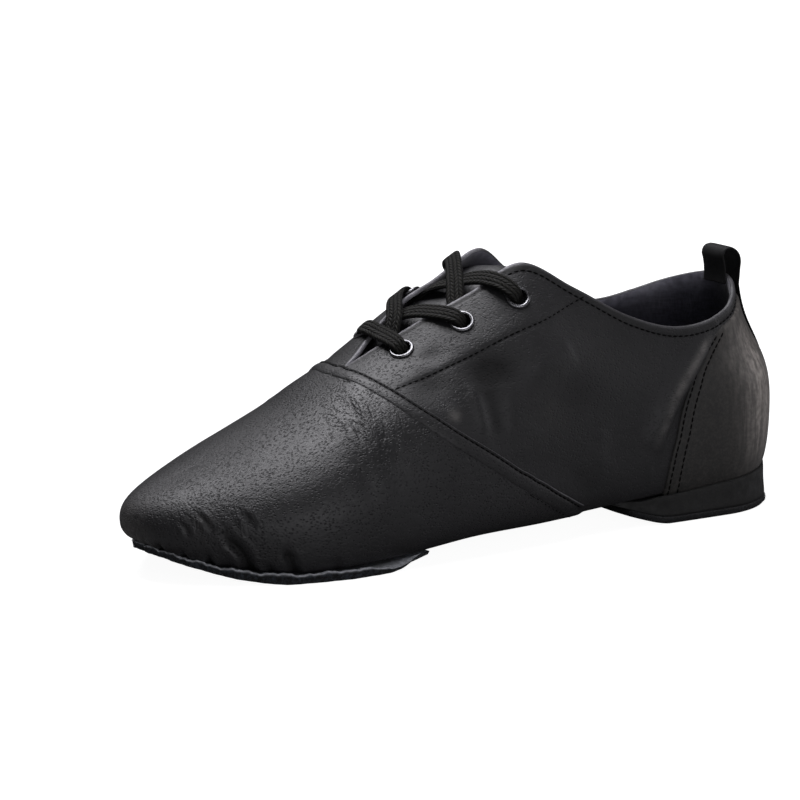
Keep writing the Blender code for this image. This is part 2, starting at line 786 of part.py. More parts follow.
def build_vamp_band(parts):
    """Build the raised seam band that runs over the vamp from arch to arch."""
    rows = np.linspace(VAMP_SEAM[0].row, VAMP_SEAM[-1].row, BAND_ROWS)
    columns = curve_through(VAMP_SEAM, "row", "column", rows)
    lateral = wall_point(columns, rows, LATERAL)
    medial = wall_point(columns, rows, MEDIAL)
    middle = np.concatenate([lateral, medial[:-1][::-1]])
    normal = np.concatenate(
        [wall_normal(columns, rows, LATERAL), wall_normal(columns, rows, MEDIAL)[:-1][::-1]]
    )
    side_way = np.cross(normal, np.gradient(middle, axis=0))
    side_way /= np.linalg.norm(side_way, axis=-1, keepdims=True)
    reach = np.array([-0.5, 0.0, 0.5]) * VAMP_BAND_WIDTH

    def sheet(lift):
        line = middle + normal * lift
        return line[:, None, :] + side_way[:, None, :] * reach[:, None]

    verts, faces = shell(sheet(SEAT_GAP + OVERLAY), sheet(SEAT_GAP))
    make_object("vamp_band", verts, faces, "upper_leather", parts)


def build_counter(parts):
    """Build the heel counter that wraps the back between its two seams."""
    rows = np.linspace(COUNTER_SEAM[0].row, COUNTER_SEAM[-1].row, COUNTER_ROWS)
    reach = curve_through(COUNTER_SEAM, "row", "column", rows)
    steps = np.linspace(-1.0, 1.0, COUNTER_COLUMNS + 1)

    def sheet(lift):
        columns = []
        for step in steps:
            side = LATERAL if step <= 0 else MEDIAL
            columns.append(skin(abs(step) * reach, rows, side, lift))
        return np.stack(columns, 0)

    verts, faces = shell(sheet(COUNTER_GAP + OVERLAY), sheet(COUNTER_GAP))
    make_object("heel_counter", verts, faces, "counter_leather", parts)


def build_ribbon(parts):
    """Build the ribbon up the back seam and the pull loop at its top."""
    rows = np.linspace(RIBBON_FOOT_ROW, COUNTER_SEAM[-1].row, RIBBON_ROWS)
    scan = np.linspace(0.0, 0.2, 201)
    lift = COUNTER_GAP + OVERLAY + SEAT_GAP

    def back(extra):
        sheet = []
        for share in RIBBON_ACROSS:
            side = LATERAL if share >= 0 else MEDIAL
            line = []
            for v in rows:
                width = np.abs(wall_point(scan, np.full_like(scan, v), side)[..., 1])
                u = np.interp(abs(share) * RIBBON_HALF, width, scan)
                line.append(skin(u, v, side, lift + extra))
            sheet.append(line)
        return np.array(sheet).transpose(1, 0, 2)

    edge = top_line(np.array([0.0]), LATERAL)[0][0]
    middle = np.array([(p.forward, 0.0, p.up) for p in LOOP_POINTS])
    run = np.gradient(middle, axis=0)
    side_out = np.stack([-run[:, 2], np.zeros(len(run)), run[:, 0]], -1)
    side_out /= np.linalg.norm(side_out, axis=-1, keepdims=True)
    bow = np.array([p.bow for p in LOOP_POINTS])
    reach = np.array(RIBBON_ACROSS) * RIBBON_HALF
    round_back = reach**2 / (2 * 15.0 * MM)

    def loop(extra):
        base = edge + middle + side_out * extra
        grid = np.repeat(base[:, None, :], len(reach), 1)
        grid[:, :, 1] += reach
        grid[:, :, 0] += bow[:, None] * round_back
        return grid

    outer = np.concatenate([back(RIBBON_THICK), loop(RIBBON_THICK)])
    inner = np.concatenate([back(0.0), loop(0.0)])
    verts, faces = shell(outer, inner)
    make_object("pull_ribbon", verts, faces, "ribbon_weave", parts)


def strip(path, normals, width, thick):
    """Return the closed body of a flat strip swept along a path."""
    run = np.gradient(path, axis=0)
    run /= np.linalg.norm(run, axis=-1, keepdims=True)
    wide = np.cross(normals, run)
    wide /= np.linalg.norm(wide, axis=-1, keepdims=True)
    out = np.cross(run, wide)
    reach = np.array([-0.5, -0.25, 0.0, 0.25, 0.5]) * width
    crown = 0.5 * thick * np.array([0.35, 0.85, 1.0, 0.85, 0.35])
    rows = path[:, None, :] + wide[:, None, :] * reach[:, None]
    return shell(rows + out[:, None, :] * crown[:, None], rows - out[:, None, :] * crown[:, None])


def smooth_path(points, normals, steps):
    """Return a smooth path through a few points, with normals blended along it."""
    points = np.array(points)
    normals = np.array(normals)
    gaps = np.linalg.norm(np.diff(points, axis=0), axis=-1)
    key = np.concatenate([[0.0], np.cumsum(gaps)]) / gaps.sum()

    class Node(NamedTuple):
        key: float
        value: float

    at = np.linspace(0.0, 1.0, steps + 1)
    path = np.stack(
        [curve_through([Node(k, p) for k, p in zip(key, points[:, a])], "key", "value", at) for a in range(3)], -1
    )
    blend = np.stack([np.interp(at, key, normals[:, a]) for a in range(3)], -1)
    return path, blend / np.linalg.norm(blend, axis=-1, keepdims=True)


def build_laces(parts):
    """Build the lace bar over the first eyelets and the two crossings above it."""
    first = EYELET_PLACES[0]
    stops = [
        (first.column, first.row, LATERAL),
        (first.column, 1.96, LATERAL),
        (first.column, 1.96, MEDIAL),
        (first.column, first.row, MEDIAL),
    ]
    points = [skin(c, r, s, LACE_LIFT) for c, r, s in stops]
    normals = [wall_normal(c, r, s) for c, r, s in stops]
    path, blend = smooth_path(points, normals, LACE_STEPS)
    verts, faces = strip(path, blend, LACE_WIDTH, LACE_THICK)
    make_object("lace_bar", verts, faces, "lace_braid", parts)
    for number in (1, 2):
        build_crossing(number, parts)


def build_crossing(number, parts):
    """Build one lace crossing from two strips joined where they cross."""
    below = EYELET_PLACES[number - 1].column
    place = EYELET_PLACES[number]
    strips = []
    for goal, over in ((MEDIAL, LACE_OVER), (LATERAL, 0.0)):
        start_u = below + (place.column - below) * 0.40
        cross_u = below + (place.column - below) * 0.58
        edge_u = below + (place.column - below) * 0.80
        start_edge = top_line(np.array(start_u), -goal)[0]
        cross_lat = top_line(np.array(cross_u), LATERAL)[0]
        cross_med = top_line(np.array(cross_u), MEDIAL)[0]
        middle = (cross_lat + cross_med) / 2.0
        begin = middle * 0.35 + start_edge * 0.65
        begin[..., 2] = start_edge[..., 2] + LACE_LIFT * 0.9
        middle[..., 2] += LACE_LIFT * 1.1 + over
        up = np.array([0.3, 0.0, 1.0])
        points = [
            begin,
            middle,
            skin(edge_u, 1.97, goal, LACE_LIFT + 0.4 * over),
            skin(place.column, place.row, goal, LACE_LIFT),
        ]
        normals = [up, up, wall_normal(edge_u, 1.97, goal), wall_normal(place.column, place.row, goal)]
        path, blend = smooth_path(points, normals, LACE_STEPS)
        strips.append(strip(path, blend, LACE_WIDTH, LACE_THICK))
    name = f"lace_cross_{number}"
    body = make_object(name, *strips[0], "lace_braid", parts)
    other = make_object(name + "_under", *strips[1], "lace_braid", parts)
    join = body.modifiers.new("join", "BOOLEAN")
    join.operation = "UNION"
    join.solver = "EXACT"
    join.object = other
    apply_modifiers(body)
    bpy.data.objects.remove(other, do_unlink=True)


def centre_on_floor(parts):
    """Move every part so the box stands on the floor with its middle at the origin."""
    corners = np.array([v.co for obj in parts.objects for v in obj.data.vertices])
    low = corners.min(0)
    high = corners.max(0)
    shift = Matrix.Translation((-(low[0] + high[0]) / 2, -(low[1] + high[1]) / 2, -low[2]))
    for obj in parts.objects:
        obj.data.transform(shift)
        obj.data.update()
    print("shift", [round(c, 6) for c in shift.translation])


def main():
    """Build every part of the shoe."""
    for obj in list(bpy.data.objects):
        bpy.data.objects.remove(obj, do_unlink=True)
    parts = bpy.data.collections.new("jazz_shoe")
    cutters = bpy.data.collections.new("cutters")
    bpy.context.scene.collection.children.link(parts)
    bpy.context.scene.collection.children.link(cutters)
    build_upper(parts, cutters)
    build_tongue(parts)
    build_insole(parts)
    build_sole(parts)
    build_heel(parts)
    build_vamp_band(parts)
    build_counter(parts)
    build_ribbon(parts)
    for number, (place, side) in enumerate(eyelet_sites(), 1):
        build_eyelet(f"eyelet_{number}", place, side, parts)
    build_laces(parts)
    centre_on_floor(parts)


main()
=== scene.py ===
"""Left low-cut lace-up jazz shoe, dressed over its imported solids.

Row frame in metres: +X to the toe, +Y to the outer side, +Z up, floor at Z = 0.
The upper, seams, soles, lace and ribbon all follow one last, whose driving sizes and
short tables stand below; a spot on its wall is a column (0 heel back, 1 toe tip) and
a row (0 lower edge, 1 widest line, 2 edge of the opening).
"""

import logging
import math
from dataclasses import dataclass, field
from enum import Enum
from functools import cache
from typing import Callable, NamedTuple, Sequence

import bmesh
import bpy
import numpy as np
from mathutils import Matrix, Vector


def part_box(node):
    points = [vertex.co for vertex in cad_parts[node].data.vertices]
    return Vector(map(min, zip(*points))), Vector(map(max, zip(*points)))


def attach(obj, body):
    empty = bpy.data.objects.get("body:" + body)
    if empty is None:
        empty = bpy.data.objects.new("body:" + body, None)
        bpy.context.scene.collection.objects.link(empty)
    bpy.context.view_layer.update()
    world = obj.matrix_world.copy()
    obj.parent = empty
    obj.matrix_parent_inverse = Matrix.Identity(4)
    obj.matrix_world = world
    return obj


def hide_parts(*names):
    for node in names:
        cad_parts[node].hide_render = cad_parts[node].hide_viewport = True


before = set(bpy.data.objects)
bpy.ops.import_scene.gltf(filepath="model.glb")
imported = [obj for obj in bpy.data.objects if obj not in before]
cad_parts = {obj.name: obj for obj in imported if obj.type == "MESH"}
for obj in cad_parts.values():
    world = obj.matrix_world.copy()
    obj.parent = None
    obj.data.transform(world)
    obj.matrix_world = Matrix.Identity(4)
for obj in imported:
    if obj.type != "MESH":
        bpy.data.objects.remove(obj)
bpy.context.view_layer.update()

LOG = logging.getLogger("jazz_shoe")
MM = 0.001
BODY = "root"
UP = np.array([0.0, 0.0, 1.0])
DOWN = -UP
WELD = 2e-6
NO_AREA = 1e-7

Array = np.ndarray
Colour = tuple[float, float, float]
Faces = list[tuple[int, ...]]
Piece = bpy.types.Object
Mesh = bpy.types.Mesh
Material = bpy.types.Material
Tree = bpy.types.NodeTree
Node = bpy.types.Node
Socket = bpy.types.NodeSocket
WHITE = (1.0, 1.0, 1.0)
FORWARD = np.array([1.0, 0.0, 0.0])


class Side(Enum):
    """Side of a left shoe."""

    LATERAL = 1
    MEDIAL = -1


class Section(NamedTuple):
    """Cross-section of the last at one share of the length."""

    share: float
    lateral: float      # half-width at the widest line, of the ball width
    medial: float
    girth: float        # height of the widest line, of the instep height
    feather: float      # height of the lower edge, of the heel height
    inset: float        # lower edge inside the widest line, of the ball width


class TopPoint(NamedTuple):
    """Edge of the opening: collar, facing corner and throat edge."""

    share: float
    lateral: float      # half-width of the opening, of the ball width
    medial: float
    height_lat: float   # of the back height
    height_med: float
    lean_lat: float     # degrees of the wall from level at its edge
    lean_med: float
    slope: float        # fall of the wall's tangent toward the toe


class Crown(NamedTuple):
    """Ridge of the vamp ahead of the throat."""

    share: float
    height: float       # of the instep height


class Spot(NamedTuple):
    """Spot on the wall."""

    row: float
    column: float


class SoleLine(NamedTuple):
    """Underside of the forefoot sole."""

    share: float
    under: float        # height above the floor
    thick: float


class LoopPoint(NamedTuple):
    """Middle of the pull loop, from the collar's back edge."""

    key: float
    forward: float
    up: float
    bow: float          # share of the collar's round kept across the ribbon


SECTIONS = (
    Section(0.00, 0.358, 0.346, 0.571, 1.000, 0.030),
    Section(0.10, 0.371, 0.358, 0.540, 0.883, 0.030),
    Section(0.20, 0.383, 0.358, 0.476, 0.745, 0.036),
    Section(0.30, 0.395, 0.352, 0.413, 0.634, 0.049),
    Section(0.42, 0.431, 0.352, 0.357, 0.524, 0.061),
    Section(0.56, 0.486, 0.395, 0.317, 0.455, 0.061),
    Section(0.67, 0.514, 0.456, 0.286, 0.331, 0.049),
    Section(0.76, 0.514, 0.486, 0.262, 0.248, 0.036),
    Section(0.85, 0.489, 0.472, 0.248, 0.262, 0.036),
    Section(0.93, 0.447, 0.422, 0.258, 0.455, 0.043),
    Section(1.00, 0.410, 0.360, 0.288, 0.772, 0.061),
)
TOP_LINE = (
    TopPoint(0.048, 0.182, 0.182, 1.000, 1.000, 84.0, 84.0, 0.00),
    TopPoint(0.120, 0.286, 0.286, 0.880, 0.911, 84.0, 84.0, 0.00),
    TopPoint(0.200, 0.316, 0.316, 0.842, 0.867, 82.0, 82.0, 0.00),
    TopPoint(0.280, 0.304, 0.304, 0.911, 0.918, 76.0, 76.0, 0.00),
    TopPoint(0.360, 0.249, 0.237, 1.051, 1.057, 66.0, 63.0, 0.00),
    TopPoint(0.428, 0.170, 0.152, 1.167, 1.184, 50.0, 44.0, -0.20),
    TopPoint(0.500, 0.128, 0.130, 1.056, 1.082, 34.0, 22.0, -0.45),
    TopPoint(0.572, 0.082, 0.104, 0.946, 0.980, 24.0, 14.0, -0.50),
    TopPoint(0.600, 0.055, 0.080, 0.895, 0.922, 17.0, 11.0, -0.50),
    TopPoint(0.625, 0.030, 0.052, 0.850, 0.869, 10.0, 8.0, -0.50),
    TopPoint(0.650, 0.010, 0.020, 0.803, 0.812, 4.0, 4.0, -0.50),
    TopPoint(0.670, 0.000, 0.000, 0.770, 0.770, 0.0, 0.0, -0.50),
)
CROWN = (
    Crown(0.670, 0.9656),
    Crown(0.700, 0.897),
    Crown(0.760, 0.771),
    Crown(0.820, 0.664),
    Crown(0.865, 0.588),
    Crown(0.904, 0.524),
)
VAMP_SEAM = (
    Spot(0.00, 0.4160),
    Spot(0.15, 0.4245),
    Spot(0.40, 0.4385),
    Spot(0.70, 0.4593),
    Spot(0.90, 0.4740),
    Spot(0.97, 0.4803),
    Spot(1.00, 0.4831),
    Spot(1.04, 0.4985),
    Spot(1.10, 0.5172),
    Spot(1.22, 0.5500),
    Spot(1.43, 0.5908),
    Spot(1.67, 0.6250),
    Spot(1.84, 0.6445),
    Spot(1.93, 0.6545),
    Spot(1.97, 0.6578),
    Spot(2.00, 0.6588),
)
COUNTER_SEAM = (
    Spot(0.00, 0.321),
    Spot(0.58, 0.320),
    Spot(1.00, 0.312),
    Spot(1.18, 0.304),
    Spot(1.39, 0.290),
    Spot(1.66, 0.265),
    Spot(1.80, 0.242),
    Spot(1.93, 0.208),
)
FACING_SEAM = (
    Spot(1.973, 0.4062),
    Spot(1.762, 0.4481),
    Spot(1.668, 0.4831),
    Spot(1.659, 0.5250),
    Spot(1.655, 0.5663),
    Spot(1.659, 0.5869),
    Spot(1.659, 0.6100),
)
EYELET_SPOTS = (Spot(1.886, 0.5950), Spot(1.864, 0.5344), Spot(1.841, 0.4775))
SOLE_LINES = (
    SoleLine(0.628, 3.0 * MM, 1.2 * MM),
    SoleLine(0.665, 1.0 * MM, 1.8 * MM),
    SoleLine(0.700, 0.0, 2.2 * MM),
    SoleLine(0.780, 0.0, 2.2 * MM),
    SoleLine(0.850, 0.0, 2.2 * MM),
    SoleLine(0.890, 1.3 * MM, 2.0 * MM),
    SoleLine(0.935, 3.9 * MM, 1.8 * MM),
    SoleLine(1.000, 8.4 * MM, 1.6 * MM),
)
LOOP_POINTS = (
    LoopPoint(0.0, -2.6 * MM, 2.0 * MM, 0.8),
    LoopPoint(2.2, -2.3 * MM, 4.2 * MM, 0.4),
    LoopPoint(4.6, -1.3 * MM, 6.4 * MM, 0.1),
    LoopPoint(6.9, 0.3 * MM, 8.0 * MM, 0.0),
    LoopPoint(9.0, 2.3 * MM, 8.7 * MM, 0.0),
    LoopPoint(10.9, 4.1 * MM, 8.2 * MM, 0.0),
    LoopPoint(12.7, 4.9 * MM, 6.6 * MM, 0.0),
    LoopPoint(14.8, 4.3 * MM, 4.6 * MM, 0.1),
    LoopPoint(17.3, 3.6 * MM, 2.2 * MM, 0.3),
    LoopPoint(19.9, 3.3 * MM, -0.4 * MM, 0.4),
    LoopPoint(22.9, 3.4 * MM, -3.4 * MM, 0.4),
)


class Crease(NamedTuple):
    """Soft fold of the leather along a path of wall spots."""

    side: Side
    path: tuple[Spot, ...]
    width: float        # half-width of the trough
    depth: float        # negative for a ridge
    bank: float         # raised lip beside the fold, of its depth
    lean: float = 1.0   # width on the heel side, of the width
    round: float = 2.0  # power of the falloff; low for a pinched fold


class Dent(NamedTuple):
    """Broad hollow (or swelling, where the depth is negative) of the leather."""

    side: Side
    spot: Spot
    along: float        # half-width toward the toe
    upward: float       # half-width up the wall
    depth: float


LAT = Side.LATERAL
MED = Side.MEDIAL
COUNTER_FOLD = (
    Spot(1.93, 0.208),
    Spot(1.79, 0.245),
    Spot(1.58, 0.278),
    Spot(1.39, 0.301),
    Spot(1.17, 0.321),
    Spot(1.03, 0.3325),
    Spot(0.86, 0.340),
)
CREASES = (
    # Toe pleats over the forefoot sole, outer side
    Crease(LAT, (Spot(0.0, 0.789), Spot(0.68, 0.800), Spot(1.03, 0.818)), 1.2 * MM, 2.2 * MM, 0.22, 1.6, 1.2),
    Crease(LAT, (Spot(0.0, 0.737), Spot(0.42, 0.742), Spot(0.74, 0.748)), 1.1 * MM, 1.8 * MM, 0.22, 1.6, 1.2),
    Crease(LAT, (Spot(0.0, 0.838), Spot(0.48, 0.840)), 1.0 * MM, 1.1 * MM, 0.42, 1.2, 1.3),
    Crease(LAT, (Spot(0.0, 0.876), Spot(0.40, 0.878)), 1.0 * MM, 0.9 * MM, 0.42, 1.2, 1.3),
    Crease(LAT, (Spot(0.0, 0.920), Spot(0.50, 0.920)), 1.0 * MM, 1.0 * MM, 0.42, 1.2, 1.3),
    Crease(LAT, (Spot(0.0, 0.762), Spot(0.30, 0.766)), 1.0 * MM, 0.7 * MM, 0.42, 1.2, 1.3),
    Crease(LAT, (Spot(0.0, 0.688), Spot(0.42, 0.692)), 1.8 * MM, 0.5 * MM, 0.30),
    Crease(LAT, (Spot(1.24, 0.854), Spot(1.14, 0.843), Spot(1.05, 0.833)), 0.7 * MM, 0.38 * MM, 0.6),
    Crease(LAT, (Spot(1.20, 0.846), Spot(1.07, 0.830)), 0.7 * MM, 0.30 * MM, 0.6),
    Crease(LAT, (Spot(1.13, 0.879), Spot(1.04, 0.870), Spot(0.92, 0.865)), 0.7 * MM, 0.36 * MM, 0.6),
    Crease(LAT, (Spot(1.11, 0.871), Spot(0.97, 0.860)), 0.7 * MM, 0.38 * MM, 0.6),
    Crease(LAT, (Spot(1.24, 0.799), Spot(1.15, 0.790), Spot(1.07, 0.784)), 1.0 * MM, 0.42 * MM, 0.6),
    Crease(LAT, (Spot(1.21, 0.792), Spot(1.09, 0.778)), 0.9 * MM, 0.32 * MM, 0.6),
    Crease(LAT, (Spot(0.05, 0.986), Spot(1.08, 0.966)), 1.0 * MM, 0.35 * MM, 0.6),
    Crease(LAT, (Spot(0.10, 0.958), Spot(0.80, 0.950)), 1.0 * MM, 0.30 * MM, 0.6),
    # Toe pleats, inner side
    Crease(MED, (Spot(0.0, 0.770), Spot(0.60, 0.778), Spot(0.90, 0.790)), 1.9 * MM, 1.1 * MM, 0.4),
    Crease(MED, (Spot(0.0, 0.822), Spot(0.50, 0.826)), 1.6 * MM, 0.8 * MM, 0.4),
    Crease(MED, (Spot(0.0, 0.868), Spot(0.55, 0.872)), 1.3 * MM, 0.6 * MM, 0.35),
    Crease(MED, (Spot(0.0, 0.915), Spot(0.50, 0.918)), 1.2 * MM, 0.6 * MM, 0.35),
    Crease(MED, (Spot(0.10, 0.960), Spot(0.90, 0.955)), 1.0 * MM, 0.35 * MM, 0.5),
    Crease(MED, (Spot(0.0, 0.715), Spot(0.40, 0.722)), 1.9 * MM, 0.6 * MM, 0.35),
    # Fold of the quarter ahead of the heel counter
    Crease(LAT, COUNTER_FOLD, 6.5 * MM, -2.1 * MM, 0.0, 0.30),
    Crease(MED, COUNTER_FOLD[:5], 6.0 * MM, -1.4 * MM, 0.0, 0.35),
    # Soft folds of the outer quarter below the facing
    Crease(LAT, (Spot(1.52, 0.540), Spot(1.41, 0.536), Spot(1.24, 0.531)), 2.2 * MM, -0.55 * MM, 0.0),
    Crease(LAT, (Spot(1.46, 0.523), Spot(1.33, 0.519), Spot(1.20, 0.516)), 3.6 * MM, 0.75 * MM, 0.3),
    Crease(LAT, (Spot(1.66, 0.428), Spot(1.50, 0.455), Spot(1.42, 0.482)), 4.2 * MM, -0.8 * MM, 0.0),
    Crease(LAT, (Spot(1.18, 0.402), Spot(0.98, 0.405)), 3.2 * MM, -0.4 * MM, 0.0),
    Crease(LAT, (Spot(1.05, 0.440), Spot(0.80, 0.420), Spot(0.55, 0.405)), 4.5 * MM, 0.5 * MM, 0.3),
    # Soft folds of the inner quarter
    Crease(MED, (Spot(1.50, 0.530), Spot(1.35, 0.524), Spot(1.15, 0.516)), 3.4 * MM, 0.8 * MM, 0.35),
    Crease(MED, (Spot(1.60, 0.440), Spot(1.45, 0.462), Spot(1.36, 0.490)), 4.0 * MM, -0.7 * MM, 0.0),
    Crease(MED, (Spot(1.15, 0.420), Spot(0.80, 0.410), Spot(0.45, 0.402)), 4.5 * MM, 0.6 * MM, 0.3),
    # Soft folds of the vamp below its seam
    Crease(LAT, (Spot(1.76, 0.668), Spot(1.60, 0.658), Spot(1.44, 0.655)), 2.2 * MM, 0.30 * MM, 0.5),
    Crease(LAT, (Spot(1.66, 0.640), Spot(1.48, 0.636), Spot(1.30, 0.626)), 2.4 * MM, 0.28 * MM, 0.5),
    Crease(LAT, (Spot(1.42, 0.672), Spot(1.30, 0.662), Spot(1.16, 0.655)), 2.6 * MM, 0.24 * MM, 0.5),
    Crease(MED, (Spot(1.62, 0.662), Spot(1.42, 0.656)), 1.3 * MM, 0.32 * MM, 0.5),
)
DENTS = (
    # Collar's back edge, drawn in under the ribbon
    Dent(LAT, Spot(2.0, 0.0), 14.0 * MM, 10.0 * MM, 1.5 * MM),
    # Hollows under the facing and in the quarters
    Dent(LAT, Spot(1.53, 0.517), 9.0 * MM, 6.5 * MM, 1.8 * MM),
    Dent(LAT, Spot(1.60, 0.580), 6.0 * MM, 5.5 * MM, 0.9 * MM),
    Dent(LAT, Spot(1.76, 0.570), 4.0 * MM, 3.2 * MM, 0.45 * MM),
    Dent(LAT, Spot(1.40, 0.562), 4.5 * MM, 4.0 * MM, -0.5 * MM),
    Dent(LAT, Spot(1.35, 0.430), 11.0 * MM, 8.0 * MM, 0.6 * MM),
    Dent(LAT, Spot(1.15, 0.480), 9.0 * MM, 6.0 * MM, -0.5 * MM),
    Dent(LAT, Spot(0.60, 0.900), 9.0 * MM, 5.0 * MM, -0.4 * MM),
    Dent(MED, Spot(1.52, 0.500), 9.0 * MM, 7.0 * MM, 1.2 * MM),
    Dent(MED, Spot(1.60, 0.575), 6.0 * MM, 5.5 * MM, 0.8 * MM),
    Dent(MED, Spot(1.10, 0.450), 12.0 * MM, 9.0 * MM, 0.8 * MM),
)


LINING_FOLDS = (
    Crease(MED, (Spot(1.93, 0.070), Spot(1.78, 0.105), Spot(1.60, 0.118)), 2.2 * MM, 1.5 * MM, 0.0, 1.8),
    Crease(MED, (Spot(1.90, 0.150), Spot(1.72, 0.165), Spot(1.50, 0.160)), 4.0 * MM, 0.9 * MM, 0.0),
    Crease(MED, (Spot(1.86, 0.300), Spot(1.84, 0.240), Spot(1.85, 0.180)), 1.6 * MM, -0.5 * MM, 0.0),
    Crease(LAT, (Spot(1.92, 0.080), Spot(1.75, 0.110)), 2.5 * MM, 0.8 * MM, 0.0),
)


class Scuff(NamedTuple):
    """Rubbed or wrinkled patch of the finish."""

    side: Side
    spot: Spot
    reach: float
    strength: float


SCUFFS = (
    Scuff(LAT, Spot(1.39, 0.561), 2.0 * MM, 0.9),
    Scuff(LAT, Spot(1.10, 0.845), 5.0 * MM, 0.14),
    Scuff(LAT, Spot(0.60, 0.990), 9.0 * MM, 0.42),
    Scuff(MED, Spot(0.60, 0.985), 8.0 * MM, 0.34),
    Scuff(LAT, Spot(1.25, 0.460), 10.0 * MM, 0.07),
)
FLEXES = (
    Scuff(LAT, Spot(1.54, 0.654), 11.0 * MM, 1.0),
    Scuff(LAT, Spot(1.14, 0.850), 8.0 * MM, 0.8),
    Scuff(LAT, Spot(1.16, 0.790), 6.0 * MM, 0.8),
    Scuff(MED, Spot(1.54, 0.654), 11.0 * MM, 0.9),
    Scuff(MED, Spot(1.10, 0.840), 9.0 * MM, 0.7),
)


def smooth_curve(xs: Array, ys: Array, at: Array) -> Array:
    """Smooth curve through values or points.

    Args:
        xs: rising places of the values.
        ys: number or point at each place.
        at: places to read.

    Returns:
        Numbers or points at those places.
    """
    step = np.diff(xs)
    i = np.clip(np.searchsorted(xs, at) - 1, 0, len(xs) - 2)
    t = (at - xs[i]) / step[i]
    if ys.ndim > 1:
        step = step[:, None]
        t = t[:, None]
    rise = np.diff(ys, axis=0) / step
    tangent = np.empty_like(ys)
    tangent[0] = rise[0]
    tangent[-1] = rise[-1]
    tangent[1:-1] = (rise[:-1] * step[1:] + rise[1:] * step[:-1]) / (step[:-1] + step[1:])
    return (
        (2 * t**3 - 3 * t**2 + 1) * ys[i]
        + (t**3 - 2 * t**2 + t) * step[i] * tangent[i]
        + (3 * t**2 - 2 * t**3) * ys[i + 1]
        + (t**3 - t**2) * step[i] * tangent[i + 1]
    )


def spline(table: Sequence[NamedTuple], key: str, name: str, at: Array | float) -> Array:
    """Smooth curve through one column of a table.

    Args:
        table: rows in rising order of the key.
        key: column that gives the place of each row.
        name: column that gives its value.
        at: places to read.

    Returns:
        The values at those places.
    """
    xs = np.array([getattr(row, key) for row in table], float)
    ys = np.array([getattr(row, name) for row in table], float)
    return smooth_curve(xs, ys, np.clip(np.asarray(at, float), xs[0], xs[-1]))


def ramp(low: float, high: float, value: Array) -> Array:
    """Smooth step from 0 at low to 1 at high."""
    t = np.clip((np.asarray(value, float) - low) / (high - low), 0.0, 1.0)
    return t * t * (3.0 - 2.0 * t)


def bell(distance: Array, width: Array | float) -> Array:
    """Bell-shaped falloff with distance."""
    return np.exp(-((distance / width) ** 2))


def unit(vectors: Array) -> Array:
    """Vectors scaled to length one."""
    return vectors / np.maximum(np.linalg.norm(vectors, axis=-1, keepdims=True), 1e-12)


def through(points: Sequence[Array], count: int) -> Array:
    """Smooth path through a few points.

    Args:
        points: places or directions to pass through.
        count: number of points of the path.

    Returns:
        The path, evenly set by the spacing of the points.
    """
    points = np.array(points, float)
    gaps = np.linalg.norm(np.diff(points, axis=0), axis=-1)
    key = np.concatenate([[0.0], np.cumsum(np.maximum(gaps, 1e-6))])
    return smooth_curve(key, points, np.linspace(0.0, key[-1], count))


def lengths(points: Array) -> Array:
    """Distance along a path to each of its points."""
    return np.concatenate([[0.0], np.cumsum(np.linalg.norm(np.diff(points, axis=0), axis=-1))])


